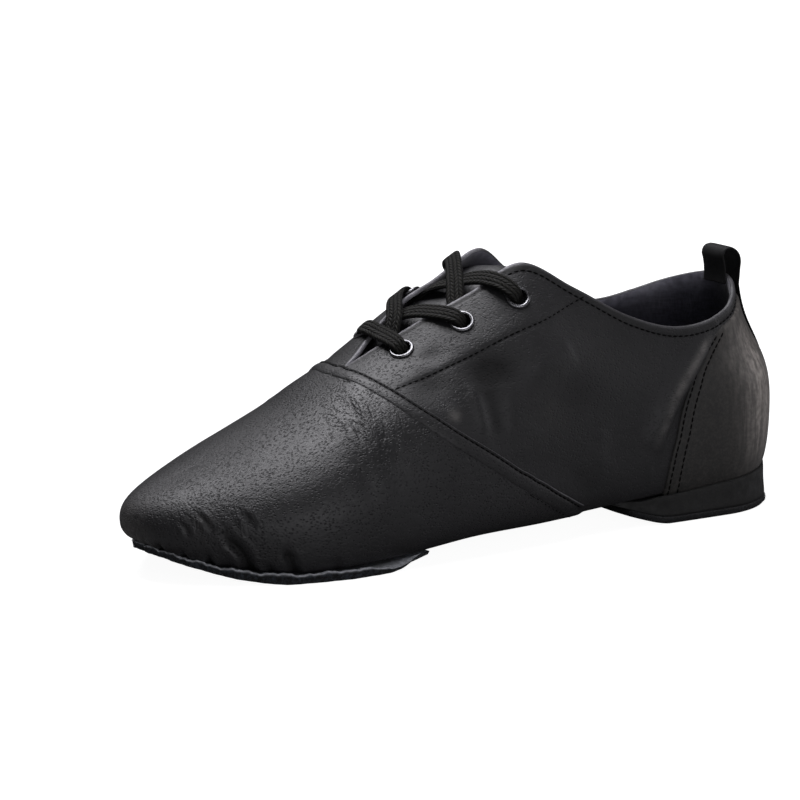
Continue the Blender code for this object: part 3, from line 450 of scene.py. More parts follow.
@dataclass
class Last:
    """Form of the foot that every piece of the shoe follows."""

    length: float = 250.0 * MM
    ball_width: float = 82.3 * MM
    instep_height: float = 63.0 * MM
    heel_height: float = 14.5 * MM
    back_height: float = 79.0 * MM
    toe_set: float = -1.0 * MM
    toe_set_from: float = 0.45
    heel_round: float = 0.125
    toe_round_from: float = 0.76
    toe_round_power: float = 2.15
    collar_round: float = 0.064
    slope_ease: float = 0.05
    throat_end: float = 0.670
    facing_corner: float = 0.428
    girth_pull: float = 0.52
    edge_pull: float = 0.56
    foot_out: float = 0.60
    foot_up: float = 0.15
    foot_pull: float = 0.50
    blend_near: float = 4.0 * MM
    blend_span: float = 12.0 * MM
    scan: int = 401
    shift: Array = field(default_factory=lambda: np.zeros(3))

    def __post_init__(self) -> None:
        """Seat the last in the frame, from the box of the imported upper."""
        low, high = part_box("upper")
        columns = np.linspace(0.0, 1.0, self.scan)
        outer = self.girth(columns, Side.LATERAL)[:, 1].max()
        inner = self.girth(columns, Side.MEDIAL)[:, 1].min()
        middle = (low[1] + high[1]) / 2.0 - (outer + inner) / 2.0
        self.shift = np.array([low[0], middle, 0.0])

    @staticmethod
    def ease(u: Array | float) -> Array:
        """Share of the length at a column, close-set at both ends."""
        return (1.0 - np.cos(np.pi * np.asarray(u, float))) / 2.0

    @staticmethod
    def column_at(share: float, back: float = 0.0, front: float = 1.0) -> float:
        """Column whose place between back and front is a given share."""
        return math.acos(1.0 - 2.0 * (share - back) / (front - back)) / math.pi

    def edge_column(self, share: float) -> float:
        """Column whose top edge lies at a share of the length."""
        return self.column_at(share, TOP_LINE[0].share, CROWN[-1].share)

    def centre(self, share: Array) -> Array:
        """Sideways place of the centre line."""
        return self.toe_set * ramp(self.toe_set_from, 1.0, share)

    def girth(self, u: Array, side: Side) -> Array:
        """Widest line of the last.

        Args:
            u: columns.
            side: side of the shoe.

        Returns:
            Points of the line.
        """
        share = self.ease(u)
        heel = np.clip((self.heel_round - share) / self.heel_round, 0.0, 1.0)
        toe = np.clip((share - self.toe_round_from) / (1.0 - self.toe_round_from), 0.0, 1.0)
        close = np.sqrt(1.0 - heel**2) * np.sqrt(np.maximum(1.0 - toe**self.toe_round_power, 0.0))
        half = self.ball_width * spline(SECTIONS, "share", side.name.lower(), share) * close
        height = self.instep_height * spline(SECTIONS, "share", "girth", share)
        line = np.stack([self.length * share, self.centre(share) + side.value * half, height], -1)
        return line + self.shift

    def outward(self, u: Array, side: Side) -> Array:
        """Outward direction of the widest line in plan.

        Args:
            u: columns.
            side: side of the shoe.

        Returns:
            Plan directions, two numbers each.
        """
        u = np.asarray(u, float)
        d = 1e-4
        run = self.girth(np.clip(u + d, 0, 1), side) - self.girth(np.clip(u - d, 0, 1), side)
        normal = unit(np.stack([-run[..., 1], run[..., 0]], -1) * side.value)
        normal = np.where((u < d)[..., None], np.array([-1.0, 0.0]), normal)
        return np.where((u > 1 - d)[..., None], np.array([1.0, 0.0]), normal)

    def feather_height(self, u: Array) -> Array:
        """Height of the wall's lower edge."""
        return self.heel_height * spline(SECTIONS, "share", "feather", self.ease(u))

    def ring(self, u: Array, side: Side, out: Array | float, height: Array | float) -> Array:
        """Lower edge moved out in plan, at given heights.

        Args:
            u: columns.
            side: side of the shoe.
            out: move outward; negative is inward.
            height: heights of the points.

        Returns:
            Points of the ring.
        """
        u = np.asarray(u, float)
        inset = self.ball_width * spline(SECTIONS, "share", "inset", self.ease(u))
        point = self.girth(u, side).copy()
        point[..., :2] -= self.outward(u, side) * np.asarray(inset - out)[..., None]
        point[..., 2] = height
        return point

    def top(self, u: Array, side: Side) -> tuple[Array, Array, Array]:
        """Edge of the opening, or the crown of the vamp ahead of it.

        Args:
            u: columns.
            side: side of the shoe.

        Returns:
            Points, lean of the wall there, and slope of its tangent.
        """
        back = TOP_LINE[0].share
        front = CROWN[-1].share
        share = back + (front - back) * self.ease(u)
        high = "height_lat" if side is Side.LATERAL else "height_med"
        close = np.clip((self.collar_round - (share - back)) / self.collar_round, 0.0, 1.0)
        half = self.ball_width * spline(TOP_LINE, "share", side.name.lower(), share) * np.sqrt(1.0 - close**2)
        height = self.back_height * spline(TOP_LINE, "share", high, share)
        tilt = "lean_lat" if side is Side.LATERAL else "lean_med"
        lean = np.radians(spline(TOP_LINE, "share", tilt, share))
        slope = spline(TOP_LINE, "share", "slope", share)
        d = 1e-3
        fore = np.clip(share + d, self.throat_end, front)
        aft = np.clip(share - d, self.throat_end, front)
        crown = self.instep_height * spline(CROWN, "share", "height", share)
        drop = spline(CROWN, "share", "height", fore) - spline(CROWN, "share", "height", aft)
        fall = self.instep_height * drop / (self.length * np.maximum(fore - aft, d))
        vamp = share > self.throat_end + 1e-7
        half = np.where(vamp, 0.0, half)
        height = np.where(vamp, crown, height)
        lean = np.where(vamp, 0.0, lean)
        past = ramp(self.throat_end, self.throat_end + self.slope_ease, share)
        slope = np.where(vamp, fall + (slope - fall) * (1.0 - past), slope)
        point = np.stack([self.length * share, self.centre(share) + side.value * half, height], -1)
        return point + self.shift, lean, slope

    @staticmethod
    def cubic(start: Array, pull_a: Array, pull_b: Array, end: Array, t: Array) -> Array:
        """Points of a cubic curve at t."""
        t = t[..., None]
        return (1 - t) ** 3 * start + 3 * (1 - t) ** 2 * t * pull_a + 3 * (1 - t) * t**2 * pull_b + t**3 * end

    def wall(self, u: Array | float, v: Array | float, side: Side) -> Array:
        """Outer wall of the upper.

        Args:
            u: columns.
            v: rows.
            side: side of the shoe.

        Returns:
            Points of the wall.
        """
        u, v = np.broadcast_arrays(np.asarray(u, float), np.asarray(v, float))
        girth = self.girth(u, side)
        out = self.outward(u, side)
        inset = self.ball_width * spline(SECTIONS, "share", "inset", self.ease(u))
        foot = self.ring(u, side, 0.0, self.feather_height(u))
        edge, lean, slope = self.top(u, side)
        gap = girth[..., :2] - edge[..., :2]
        reach = np.linalg.norm(gap, axis=-1)
        rise = edge[..., 2] - girth[..., 2]
        near = np.clip((reach - self.blend_near) / self.blend_span, 0.0, 1.0)[..., None]
        toward = unit(out * (1 - near) + gap / np.maximum(reach, 1e-9)[..., None] * near)
        pull = self.edge_pull * (reach * np.cos(lean) ** 2 + rise * np.sin(lean) ** 2)
        level = np.cos(lean)[..., None] * toward
        tangent = np.concatenate([level, (level[..., 0] * slope - np.sin(lean))[..., None]], -1)
        upper = self.cubic(
            girth, girth + self.girth_pull * rise[..., None] * UP, edge + pull[..., None] * tangent, edge,
            np.clip(v - 1.0, 0.0, 1.0),
        )
        climb = (girth[..., 2] - foot[..., 2])[..., None]
        flat_out = np.concatenate([out, np.zeros_like(out[..., :1])], -1)
        lower = self.cubic(
            foot, foot + self.foot_out * inset[..., None] * flat_out + self.foot_up * climb * UP,
            girth - self.foot_pull * climb * UP, girth, np.clip(v, 0.0, 1.0),
        )
        return np.where((v > 1.0)[..., None], upper, lower)

    def normal(self, u: Array | float, v: Array | float, side: Side) -> Array:
        """Outward normals of the wall.

        Args:
            u: columns.
            v: rows.
            side: side of the shoe.

        Returns:
            Unit normals.
        """
        u, v = np.broadcast_arrays(np.asarray(u, float), np.asarray(v, float))
        du = 2e-4
        dv = 2e-3
        along = self.wall(np.clip(u + du, 0, 1), v, side) - self.wall(np.clip(u - du, 0, 1), v, side)
        upward = self.wall(u, np.clip(v + dv, 0, 2), side) - self.wall(u, np.clip(v - dv, 0, 2), side)
        return unit(np.cross(upward, along) * side.value)

    def skin(self, u: Array | float, v: Array | float, side: Side, lift: Array | float) -> Array:
        """Wall moved out along its normal."""
        return self.wall(u, v, side) + self.normal(u, v, side) * np.asarray(lift)[..., None]


@dataclass
class Relief:
    """Folds, hollows and sewn lines of the upper, as lifts along its normal."""

    last: Last
    samples: int = 28
    fade: float = 0.22
    end_keep: float = 0.25
    foot_row: float = 0.02
    reach: float = 4.0
    vamp_step: float = 0.75 * MM
    step_half: float = 1.1 * MM
    step_hold: float = 6.0 * MM
    step_gone: float = 26.0 * MM
    groove: float = 0.16 * MM
    groove_half: float = 0.55 * MM
    facing_groove: float = 0.20 * MM
    throat_row: float = 1.5 * MM
    ridge_half: float = 1.4 * MM
    ridge_ahead: float = 1.3 * MM
    ridge_start: float = 0.12
    ridge_fall: float = 0.55
    facing_low: float = 1.4
    facing_step: float = 0.22 * MM
    facing_gone: float = 9.0 * MM
    facing_fade: float = 0.04
    facing_least: float = 0.3
    edge_row: float = 2.9 * MM
    edge_puff: float = 0.22 * MM
    edge_stop: float = 0.030

    def nearest(self, points: Array, path: Array) -> tuple[Array, Array]:
        """Distance of points from a path, and the share along it.

        Args:
            points: places to measure.
            path: points of the path.

        Returns:
            Distances and shares.
        """
        best = np.full(points.shape[:-1], np.inf)
        share = np.zeros(points.shape[:-1])
        last = len(path) - 1
        for k in range(last):
            run = path[k + 1] - path[k]
            t = np.clip(((points - path[k]) @ run) / max(run @ run, 1e-15), 0.0, 1.0)
            gap = np.linalg.norm(points - path[k] - t[..., None] * run, axis=-1)
            closer = gap < best
            best = np.where(closer, gap, best)
            share = np.where(closer, (k + t) / last, share)
        return best, share

    def path(self, spots: Sequence[Spot], side: Side) -> tuple[Array, Array, Array]:
        """Smooth path through wall spots.

        Args:
            spots: spots to pass through.
            side: side of the shoe.

        Returns:
            Columns, rows and points of the path.
        """
        line = through([np.array([s.column, s.row, 0.0]) for s in spots], self.samples)
        return line[:, 0], line[:, 1], self.last.wall(line[:, 0], line[:, 1], side)

    def facing_path(self, side: Side) -> tuple[Array, Array, Array]:
        """Facing seam, drawn fair on the shoe where the edge of the opening turns.

        Args:
            side: side of the shoe.

        Returns:
            Columns, rows and points of the seam.
        """
        columns, _, drawn = self.path(FACING_SEAM, side)
        fair = through([self.last.wall(s.column, s.row, side) for s in FACING_SEAM], self.samples * 3)
        u = np.interp(fair[:, 0], drawn[:, 0], columns)
        rows = np.linspace(self.facing_low, 2.0, self.samples * 3)
        heights = [self.last.wall(np.full_like(rows, c), rows, side)[:, 2] for c in u]
        v = np.array([np.interp(p[2], z, rows) for p, z in zip(fair, heights)])
        return u, v, self.last.wall(u, v, side)

    def fold(self, crease: Crease, points: Array, columns: Array) -> Array:
        """Lift that one crease gives.

        Args:
            crease: the fold.
            points: places on the wall.
            columns: their columns.

        Returns:
            Lifts, zero away from the fold.
        """
        line_u, line_v, line = self.path(crease.path, crease.side)
        lift = np.zeros(points.shape[:-1])
        span = crease.width * self.reach
        near = np.all((points > line.min(0) - span) & (points < line.max(0) + span), axis=-1)
        if not near.any():
            return lift
        gap, share = self.nearest(points[near], line)
        behind = columns[near] < np.interp(share, np.linspace(0, 1, len(line_u)), line_u)
        width = np.where(behind, crease.width * crease.lean, crease.width)
        open_foot = line_v[0] < self.foot_row
        ends = ramp(0.0, self.fade, 1.0 - share) * (1.0 if open_foot else ramp(0.0, self.fade, share))
        trough = -np.exp(-((gap / width) ** crease.round)) + crease.bank * bell(gap - 2.0 * width, width)
        strength = self.end_keep + (1.0 - self.end_keep) * ends
        lift[near] = crease.depth * trough * strength * np.where(gap < span, 1.0, 0.0)
        return lift

    def hollow(self, dent: Dent, points: Array) -> Array:
        """Lift that one dent gives.

        Args:
            dent: the hollow.
            points: places on the wall.

        Returns:
            Lifts along the normal.
        """
        at = self.last.wall(dent.spot.column, dent.spot.row, dent.side)
        out = self.last.normal(dent.spot.column, dent.spot.row, dent.side)
        ahead = unit(np.cross(np.cross(out, FORWARD), out))
        gap = points - at
        along = gap @ ahead / dent.along
        upward = gap @ np.cross(out, ahead) / dent.upward
        away = gap @ out / dent.along
        return -dent.depth * np.exp(-(along**2) - upward**2 - away**2)

    def sag(self, points: Array) -> Array:
        """Lift of all dents together."""
        return sum(self.hollow(dent, points) for dent in DENTS)

    def seam_side(self, points: Array, u: Array, v: Array, side: Side) -> Array:
        """Signed distance from the middle of the vamp seam.

        Args:
            points: places on the wall.
            u: their columns.
            v: their rows.
            side: side of the shoe.

        Returns:
            Distances, positive on the vamp.
        """
        rows = np.linspace(VAMP_SEAM[0].row, VAMP_SEAM[-1].row, self.samples * 2)
        columns = spline(VAMP_SEAM, "row", "column", rows)
        gap, _ = self.nearest(points, self.last.wall(columns, rows, side))
        return gap * np.where(u > spline(VAMP_SEAM, "row", "column", v), 1.0, -1.0)

    def lift(self, points: Array, u: Array, v: Array, side: Side, edge_run: Array) -> Array:
        """Sum of all folds, hollows and sewn lines.

        Args:
            points: places on the wall.
            u: their columns.
            v: their rows.
            side: side of the shoe.
            edge_run: distance down the wall from the edge of the opening.

        Returns:
            Lifts along the normal.
        """
        total = np.zeros(points.shape[:-1])
        for crease in CREASES:
            total += self.fold(crease, points, u)
        total += self.sag(points)
        seam = self.seam_side(points, u, v, side)
        total += self.vamp_step * ramp(-self.step_half, self.step_half, seam) * (
            1.0 - ramp(self.step_hold, self.step_gone, seam)
        )
        _, line_v, line = self.facing_path(side)
        gap, share = self.nearest(points, line)
        within = ramp(0.0, self.facing_fade, share) * ramp(0.0, self.facing_fade, 1.0 - share)
        total -= self.facing_groove * bell(gap, self.groove_half) * np.maximum(within, self.facing_least)
        above = v > np.interp(share, np.linspace(0.0, 1.0, len(line_v)), line_v)
        total += np.where(above, self.facing_step * (1.0 - ramp(0.0, self.facing_gone, gap)) * within, 0.0)
        collar, throat = self.edges(u)
        total -= collar * self.groove * bell(edge_run - self.edge_row, self.groove_half)
        total -= throat * self.groove * bell(edge_run - self.throat_row, self.groove_half)
        return total + collar * self.edge_puff * bell(edge_run - self.edge_row / 2, self.edge_row / 2)

    def edges(self, u: Array) -> tuple[Array, Array]:
        """Shares of the collar's edge and of the throat's edge at each column."""
        corner = self.last.edge_column(self.last.facing_corner)
        throat = self.last.edge_column(self.last.throat_end)
        past = ramp(corner, corner + self.edge_stop, u)
        return 1.0 - past, past * (1.0 - ramp(throat - self.edge_stop, throat, u))

    def sewn(self, points: Array, u: Array, side: Side, edge_run: Array) -> Array:
        """Closeness of wall points to the sewn lines, from 0 to 1.

        Args:
            points: places on the wall.
            u: their columns.
            side: side of the shoe.
            edge_run: distance down the wall from the edge of the opening.

        Returns:
            Closeness, 1 on a line.
        """
        gap, _ = self.nearest(points, self.facing_path(side)[2])
        collar, throat = self.edges(u)
        rows = collar * bell(edge_run - self.edge_row, self.groove_half)
        rows += throat * bell(edge_run - self.throat_row, self.groove_half)
        return np.maximum(bell(gap, self.groove_half), rows)

    def ridge(self, points: Array, u: Array, side: Side) -> tuple[Array, Array]:
        """Fold ahead of the counter.

        Args:
            points: places on the wall.
            u: their columns.
            side: side of the shoe.

        Returns:
            Strength of the painted highlight line on the fold, and of the painted shade in the valley behind
            it.
        """
        line_u, _, line = self.path(COUNTER_FOLD, side)
        gap, share = self.nearest(points, line)
        ahead = np.where(u > np.interp(share, np.linspace(0.0, 1.0, len(line_u)), line_u), gap, -gap)
        ends = ramp(0.0, self.ridge_start, share) * (1.0 - ramp(self.ridge_fall, 1.0, share))
        # Painted highlight just ahead of the crest, painted shade just behind it
        rubbed = bell(ahead - self.ridge_ahead, self.ridge_half)
        return ends * rubbed, ends * bell(ahead + self.ridge_half, self.ridge_half)


class Graph:
    """Adds and links the nodes of one tree."""

    def __init__(self, tree: Tree) -> None:
        """Keep the tree."""
        self.tree = tree

    def feed(self, socket: Socket, value: object) -> None:
        """Link a socket to another, or set its value."""
        if isinstance(value, Socket):
            self.tree.links.new(value, socket)
        else:
            socket.default_value = value

    def node(self, kind: str, inputs: dict | None = None, **settings: object) -> Node:
        """Add a node.

        Args:
            kind: type of the node.
            inputs: values or sockets by input name or number.
            settings: properties by name.

        Returns:
            The node.
        """
        made = self.tree.nodes.new(kind)
        for name, value in settings.items():
            setattr(made, name, value)
        for key, value in (inputs or {}).items():
            self.feed(made.inputs[key], value)
        return made

    def first(self, kind: str, inputs: dict | None = None, **settings: object) -> Socket:
        """First output of a new node."""
        return self.node(kind, inputs, **settings).outputs[0]

    def math(self, operation: str, *values: object, clamp: bool = False) -> Socket:
        """Result of a math node."""
        return self.first("ShaderNodeMath", dict(enumerate(values)), operation=operation, use_clamp=clamp)

    def times(self, first: object, second: object, clamp: bool = False) -> Socket:
        """Product of two values."""
        return self.math("MULTIPLY", first, second, clamp=clamp)

    def plus(self, first: object, second: object, clamp: bool = False) -> Socket:
        """Sum of two values."""
        return self.math("ADD", first, second, clamp=clamp)

    def minus(self, first: object, second: object) -> Socket:
        """Difference of two values."""
        return self.math("SUBTRACT", first, second)

    def smooth(self, value: object, low: float, high: float) -> Socket:
        """Smooth step of a value from low to high."""
        inputs = {"Value": value, "From Min": low, "From Max": high}
        return self.node("ShaderNodeMapRange", inputs, interpolation_type="SMOOTHSTEP").outputs["Result"]

    def span(self, value: object, low: float, high: float) -> Socket:
        """Value from 0 to 1 spread from low to high."""
        inputs = {"Value": value, "To Min": low, "To Max": high}
        return self.node("ShaderNodeMapRange", inputs).outputs["Result"]

    def mix(self, factor: object, first: object, second: object) -> Socket:
        """Mixed colour."""
        inputs = {0: factor, 6: rgba(first), 7: rgba(second)}
        return self.node("ShaderNodeMix", inputs, data_type="RGBA").outputs[2]

    def noise(self, vector: object, scale: object, detail: float = 2.0) -> Socket:
        """Noise value."""
        return self.first("ShaderNodeTexNoise", {"Vector": vector, "Scale": scale, "Detail": detail})

    def stretch(self, vector: object, scale: Colour, turn: Colour = (0.0, 0.0, 0.0)) -> Socket:
        """Vector turned and scaled axis by axis."""
        return self.first("ShaderNodeMapping", {"Vector": vector, "Scale": scale, "Rotation": turn})

    def group(self, tree: Tree, inputs: dict) -> Node:
        """Node group with its own values."""
        return self.node("ShaderNodeGroup", inputs, node_tree=tree)


def rgba(value: object) -> object:
    """Colour with its fourth number, or the socket as it is."""
    return value if isinstance(value, Socket) else (*value, 1.0)


def darker(colour: Colour, share: float) -> Colour:
    """Share of a colour."""
    return tuple(c * share for c in colour)


class Effect(Enum):
    """Surface effects that several finishes share."""

    GRAIN = "leather_grain"
    NAP = "brushed_nap"
    BRAID = "plaited_yarn"
    MOTTLE = "handled_mottle"


class EffectGraph(Graph):
    """Node group of one effect, with its named inputs and outputs."""

    def __init__(self, effect: Effect, usual: dict[str, float | None], outputs: Sequence[str]) -> None:
        """Start the group.

        Args:
            effect: the effect.
            usual: named inputs with their usual values; None marks a vector.
            outputs: named outputs.
        """
        super().__init__(bpy.data.node_groups.new(effect.value, "ShaderNodeTree"))
        for name, value in usual.items():
            kind = "NodeSocketVector" if value is None else "NodeSocketFloat"
            socket = self.tree.interface.new_socket(name, in_out="INPUT", socket_type=kind)
            if value is not None:
                socket.default_value = value
        for name in outputs:
            self.tree.interface.new_socket(name, in_out="OUTPUT", socket_type="NodeSocketFloat")
        self.given = self.node("NodeGroupInput").outputs
        self.ends = self.node("NodeGroupOutput").inputs

    def close(self, **results: Socket) -> Tree:
        """Feed the outputs and give back the finished group."""
        for name, value in results.items():
            self.feed(self.ends[name], value)
        return self.tree


GRAIN_TURN = (0.0, 0.55, 0.35)
FIBRE_TURN = (0.2, 0.4, 0.6)
LANES_PAST = 100.0


@cache
def grain_group() -> Tree:
    """Pores, pebbles and fine flex lines of leather, with heights in millimetres, built once."""
    usual = {
        "Place": None, "Pore Scale": 560.0, "Pore Depth": 0.10, "Pebble Scale": 1300.0, "Pebble Depth": 0.06,
        "Line Depth": 0.06, "Swell Depth": 0.12, "Flex": 0.0, "Flex Depth": 0.16,
    }
    g = EffectGraph(Effect.GRAIN, usual, ("Height", "Pores"))
    place = g.given["Place"]
    sway = g.node("ShaderNodeTexNoise", {"Vector": place, "Scale": 130.0, "Detail": 2.0}).outputs[1]
    push = g.first("ShaderNodeVectorMath", {0: sway, "Scale": 0.9 * MM}, operation="SCALE")
    warped = g.first("ShaderNodeVectorMath", {0: place, 1: push}, operation="ADD")
    rows = g.stretch(warped, (0.72, 1.0, 1.1), GRAIN_TURN)
    dots = g.node(
        "ShaderNodeTexVoronoi", {"Vector": rows, "Scale": g.given["Pore Scale"], "Randomness": 0.9}
    ).outputs["Distance"]
    pit = g.minus(1.0, g.smooth(dots, 0.10, 0.46))
    pores = g.times(pit, g.span(g.smooth(g.noise(place, 60.0, 3.0), 0.35, 0.62), 0.65, 1.0))
    inputs = {"Vector": g.stretch(warped, (0.75, 1.0, 1.0), GRAIN_TURN), "Scale": g.given["Pebble Scale"],
              "Smoothness": 0.5, "Randomness": 1.0}
    pebbles = g.node("ShaderNodeTexVoronoi", inputs, feature="SMOOTH_F1").outputs["Distance"]
    flex = g.noise(g.stretch(warped, (0.34, 1.0, 1.0), GRAIN_TURN), 800.0, 3.0)
    flex = g.math("ABSOLUTE", g.minus(flex, 0.5))
    creasing = g.smooth(g.noise(place, 34.0, 2.0), 0.35, 0.68)
    lines = g.times(g.smooth(flex, 0.0, 0.10), g.span(creasing, 0.3, 1.0))
    height = g.times(lines, g.given["Line Depth"])
    height = g.minus(height, g.times(pebbles, g.given["Pebble Depth"]))
    height = g.minus(height, g.times(pores, g.given["Pore Depth"]))
    swell = g.noise(g.stretch(warped, (0.6, 1.0, 1.0), GRAIN_TURN), 330.0, 2.0)
    height = g.plus(height, g.times(swell, g.given["Swell Depth"]))
    wrinkle = g.noise(g.stretch(warped, (1.0, 0.30, 0.30)), 330.0, 2.0)
    wrinkle = g.smooth(g.math("ABSOLUTE", g.minus(wrinkle, 0.5)), 0.0, 0.12)
    wrinkle = g.times(g.times(wrinkle, g.given["Flex Depth"]), g.given["Flex"])
    return g.close(Height=g.plus(height, wrinkle), Pores=pores)


@cache
def nap_group() -> Tree:
    """Brushed fibres of suede and rubbed hide, built once."""
    g = EffectGraph(Effect.NAP, {"Place": None, "Fibre Scale": 1500.0}, ("Height", "Tone"))
    place = g.given["Place"]
    scale = g.given["Fibre Scale"]
    fibres = g.noise(g.stretch(place, (0.45, 1.0, 1.0), FIBRE_TURN), scale, 3.0)
    tufts = g.noise(place, g.times(scale, 0.35), 3.0)
    patches = g.noise(place, g.times(scale, 0.05), 3.0)
    specks = g.noise(place, scale, 2.0)
    tone = g.plus(g.times(tufts, 0.35), g.times(patches, 0.20))
    tone = g.plus(tone, g.times(specks, 0.55))
    return g.close(Height=g.plus(fibres, tufts), Tone=g.smooth(tone, 0.48, 0.70))


@cache
def braid_group() -> Tree:
    """Plaited yarns in columns along a strip, from its own run attribute, built once."""
    usual = {"Run": None, "Column": 0.8, "Pitch": 1.1, "Slant": 0.9}
    g = EffectGraph(Effect.BRAID, usual, ("Height", "Shade"))
    across, along, _ = g.node("ShaderNodeSeparateXYZ", {0: g.given["Run"]}).outputs
    lanes = g.plus(g.math("DIVIDE", across, g.given["Column"]), LANES_PAST)
    inside = g.math("FRACT", lanes)
    parity = g.math("PINGPONG", g.math("FLOOR", lanes), 1.0)
    lean = g.minus(g.times(parity, 2.0), 1.0)
    offset = g.times(g.times(inside, lean), g.given["Slant"])
    turns = g.plus(g.math("DIVIDE", along, g.given["Pitch"]), offset)
    yarn = g.math("ABSOLUTE", g.math("SINE", g.times(turns, math.pi)))
    crown = g.math("SINE", g.times(inside, math.pi))
    height = g.times(g.math("POWER", crown, 0.6), g.plus(0.45, g.times(yarn, 0.55)))
    return g.close(Height=height, Shade=g.smooth(height, 0.15, 0.85))


@cache
def mottle_group() -> Tree:
    """Broad uneven tone of a handled surface, built once."""
    g = EffectGraph(Effect.MOTTLE, {"Place": None, "Scale": 30.0}, ("Broad", "Fine"))
    broad = g.smooth(g.noise(g.given["Place"], g.given["Scale"], 3.0), 0.30, 0.70)
    fine = g.noise(g.given["Place"], g.times(g.given["Scale"], 9.0), 4.0)
    return g.close(Broad=broad, Fine=g.smooth(fine, 0.30, 0.72))


class Paint(Graph):
    """Graph of one material, with its shader and its Object coordinates."""

    def __init__(self, name: str) -> None:
        """Start the material of a named finish."""
        self.material = bpy.data.materials.new(name)
        self.material.use_nodes = True
        super().__init__(self.material.node_tree)
        self.shader = self.tree.nodes["Principled BSDF"]
        self.place = self.node("ShaderNodeTexCoord").outputs["Object"]

    def put(self, name: str, value: object) -> None:
        """Feed one input of the shader."""
        self.feed(self.shader.inputs[name], value)

    def mark(self, name: str, kind: str = "Fac") -> Socket:
        """Named attribute of the mesh."""
        return self.node("ShaderNodeAttribute", attribute_name=name).outputs[kind]

    def mottle(self, scale: float) -> tuple[Socket, Socket]:
        """Broad and fine mottle of a handled surface."""
        made = self.group(mottle_group(), {"Place": self.place, "Scale": scale}).outputs
        return made["Broad"], made["Fine"]

    def bump(self, height: object, strength: float, distance: float) -> None:
        """Feed a height to the shader's normal."""
        self.put("Normal", self.first("ShaderNodeBump", {
            "Height": height, "Strength": strength, "Distance": distance,
        }))


@dataclass(frozen=True)
class LeatherFinish:
    """Black leather with pores and fine wrinkles, paler at cut edges and rubs, with painted shade in its
    folds and grooves and, on the upper, a painted highlight along one fold.
    """

    name: str
    dark: Colour
    pale: Colour
    edge: Colour
    rub: Colour
    sheen_low: float
    sheen_high: float
    mottle_scale: float = 26.0
    pore_scale: float = 1120.0
    pore_depth: float = 0.18
    pore_rough: float = 0.46
    pore_dark: float = 0.50
    pore_tone: float = 0.3
    quarter_pores: float = 0.30
    vamp_pores: float = 0.95
    pebble_scale: float = 1700.0
    pebble_depth: float = 0.060
    line_depth: float = 0.060
    swell_depth: float = 0.20
    flex_depth: float = 0.20
    fold_dark: float = 0.9
    shade_tone: float = 0.2
    fold_rough: float = 0.35
    rub_least: float = 0.35
    rub_rough: float = 0.2
    edge_least: float = 0.6
    quarter_rough: float = 0.06
    quarter_calm: float = 0.70
    strength: float = 1.0
    relief: float = 1.0 * MM
    coat: float = 0.06
    coat_rough: float = 0.35

    def material(self) -> Material:
        """Leather that reads the piece's edge, vamp, fold, rub and flex attributes; the fold attribute is
        painted shade, and the rub attribute also carries a painted highlight.
        """
        p = Paint(self.name)
        broad, fine = p.mottle(self.mottle_scale)
        grain = p.group(grain_group(), {
            "Place": p.place, "Pore Scale": self.pore_scale, "Pore Depth": self.pore_depth,
            "Pebble Scale": self.pebble_scale, "Pebble Depth": self.pebble_depth,
            "Line Depth": self.line_depth, "Swell Depth": self.swell_depth,
            "Flex Depth": self.flex_depth, "Flex": p.mark("flex"),
        }).outputs
        vamp, edge, fold, rub = (p.mark(name) for name in ("vamp", "edge", "fold", "rub"))
        pits = p.times(grain["Pores"], p.span(vamp, self.quarter_pores, self.vamp_pores))
        colour = p.mix(broad, self.dark, self.pale)
        colour = p.mix(p.times(pits, self.pore_dark), colour, darker(self.dark, self.pore_tone))
        # Painted shade: darker in crease troughs, dents and stitch grooves, by the fold attribute
        colour = p.mix(p.times(fold, self.fold_dark, clamp=True), colour, darker(self.dark, self.shade_tone))
        # Rub attribute: real scuffs and wear, and on the upper also a painted highlight line on the fold
        # ahead of the counter
        colour = p.mix(p.times(rub, p.span(fine, self.rub_least, 1.0)), colour, self.rub)
        p.put("Base Color", p.mix(p.times(edge, p.span(fine, self.edge_least, 1.0)), colour, self.edge))
        rough = p.span(broad, self.sheen_low, self.sheen_high)
        rough = p.plus(rough, p.times(pits, self.pore_rough))
        rough = p.plus(rough, p.times(fold, self.fold_rough))
        rough = p.plus(rough, p.times(p.minus(1.0, vamp), self.quarter_rough))
        p.put("Roughness", p.plus(rough, p.times(rub, self.rub_rough), clamp=True))
        p.put("Coat Weight", self.coat)
        p.put("Coat Roughness", self.coat_rough)
        height = p.times(grain["Height"], p.span(vamp, self.quarter_calm, 1.0))
        p.bump(height, self.strength, self.relief)
        return p.material


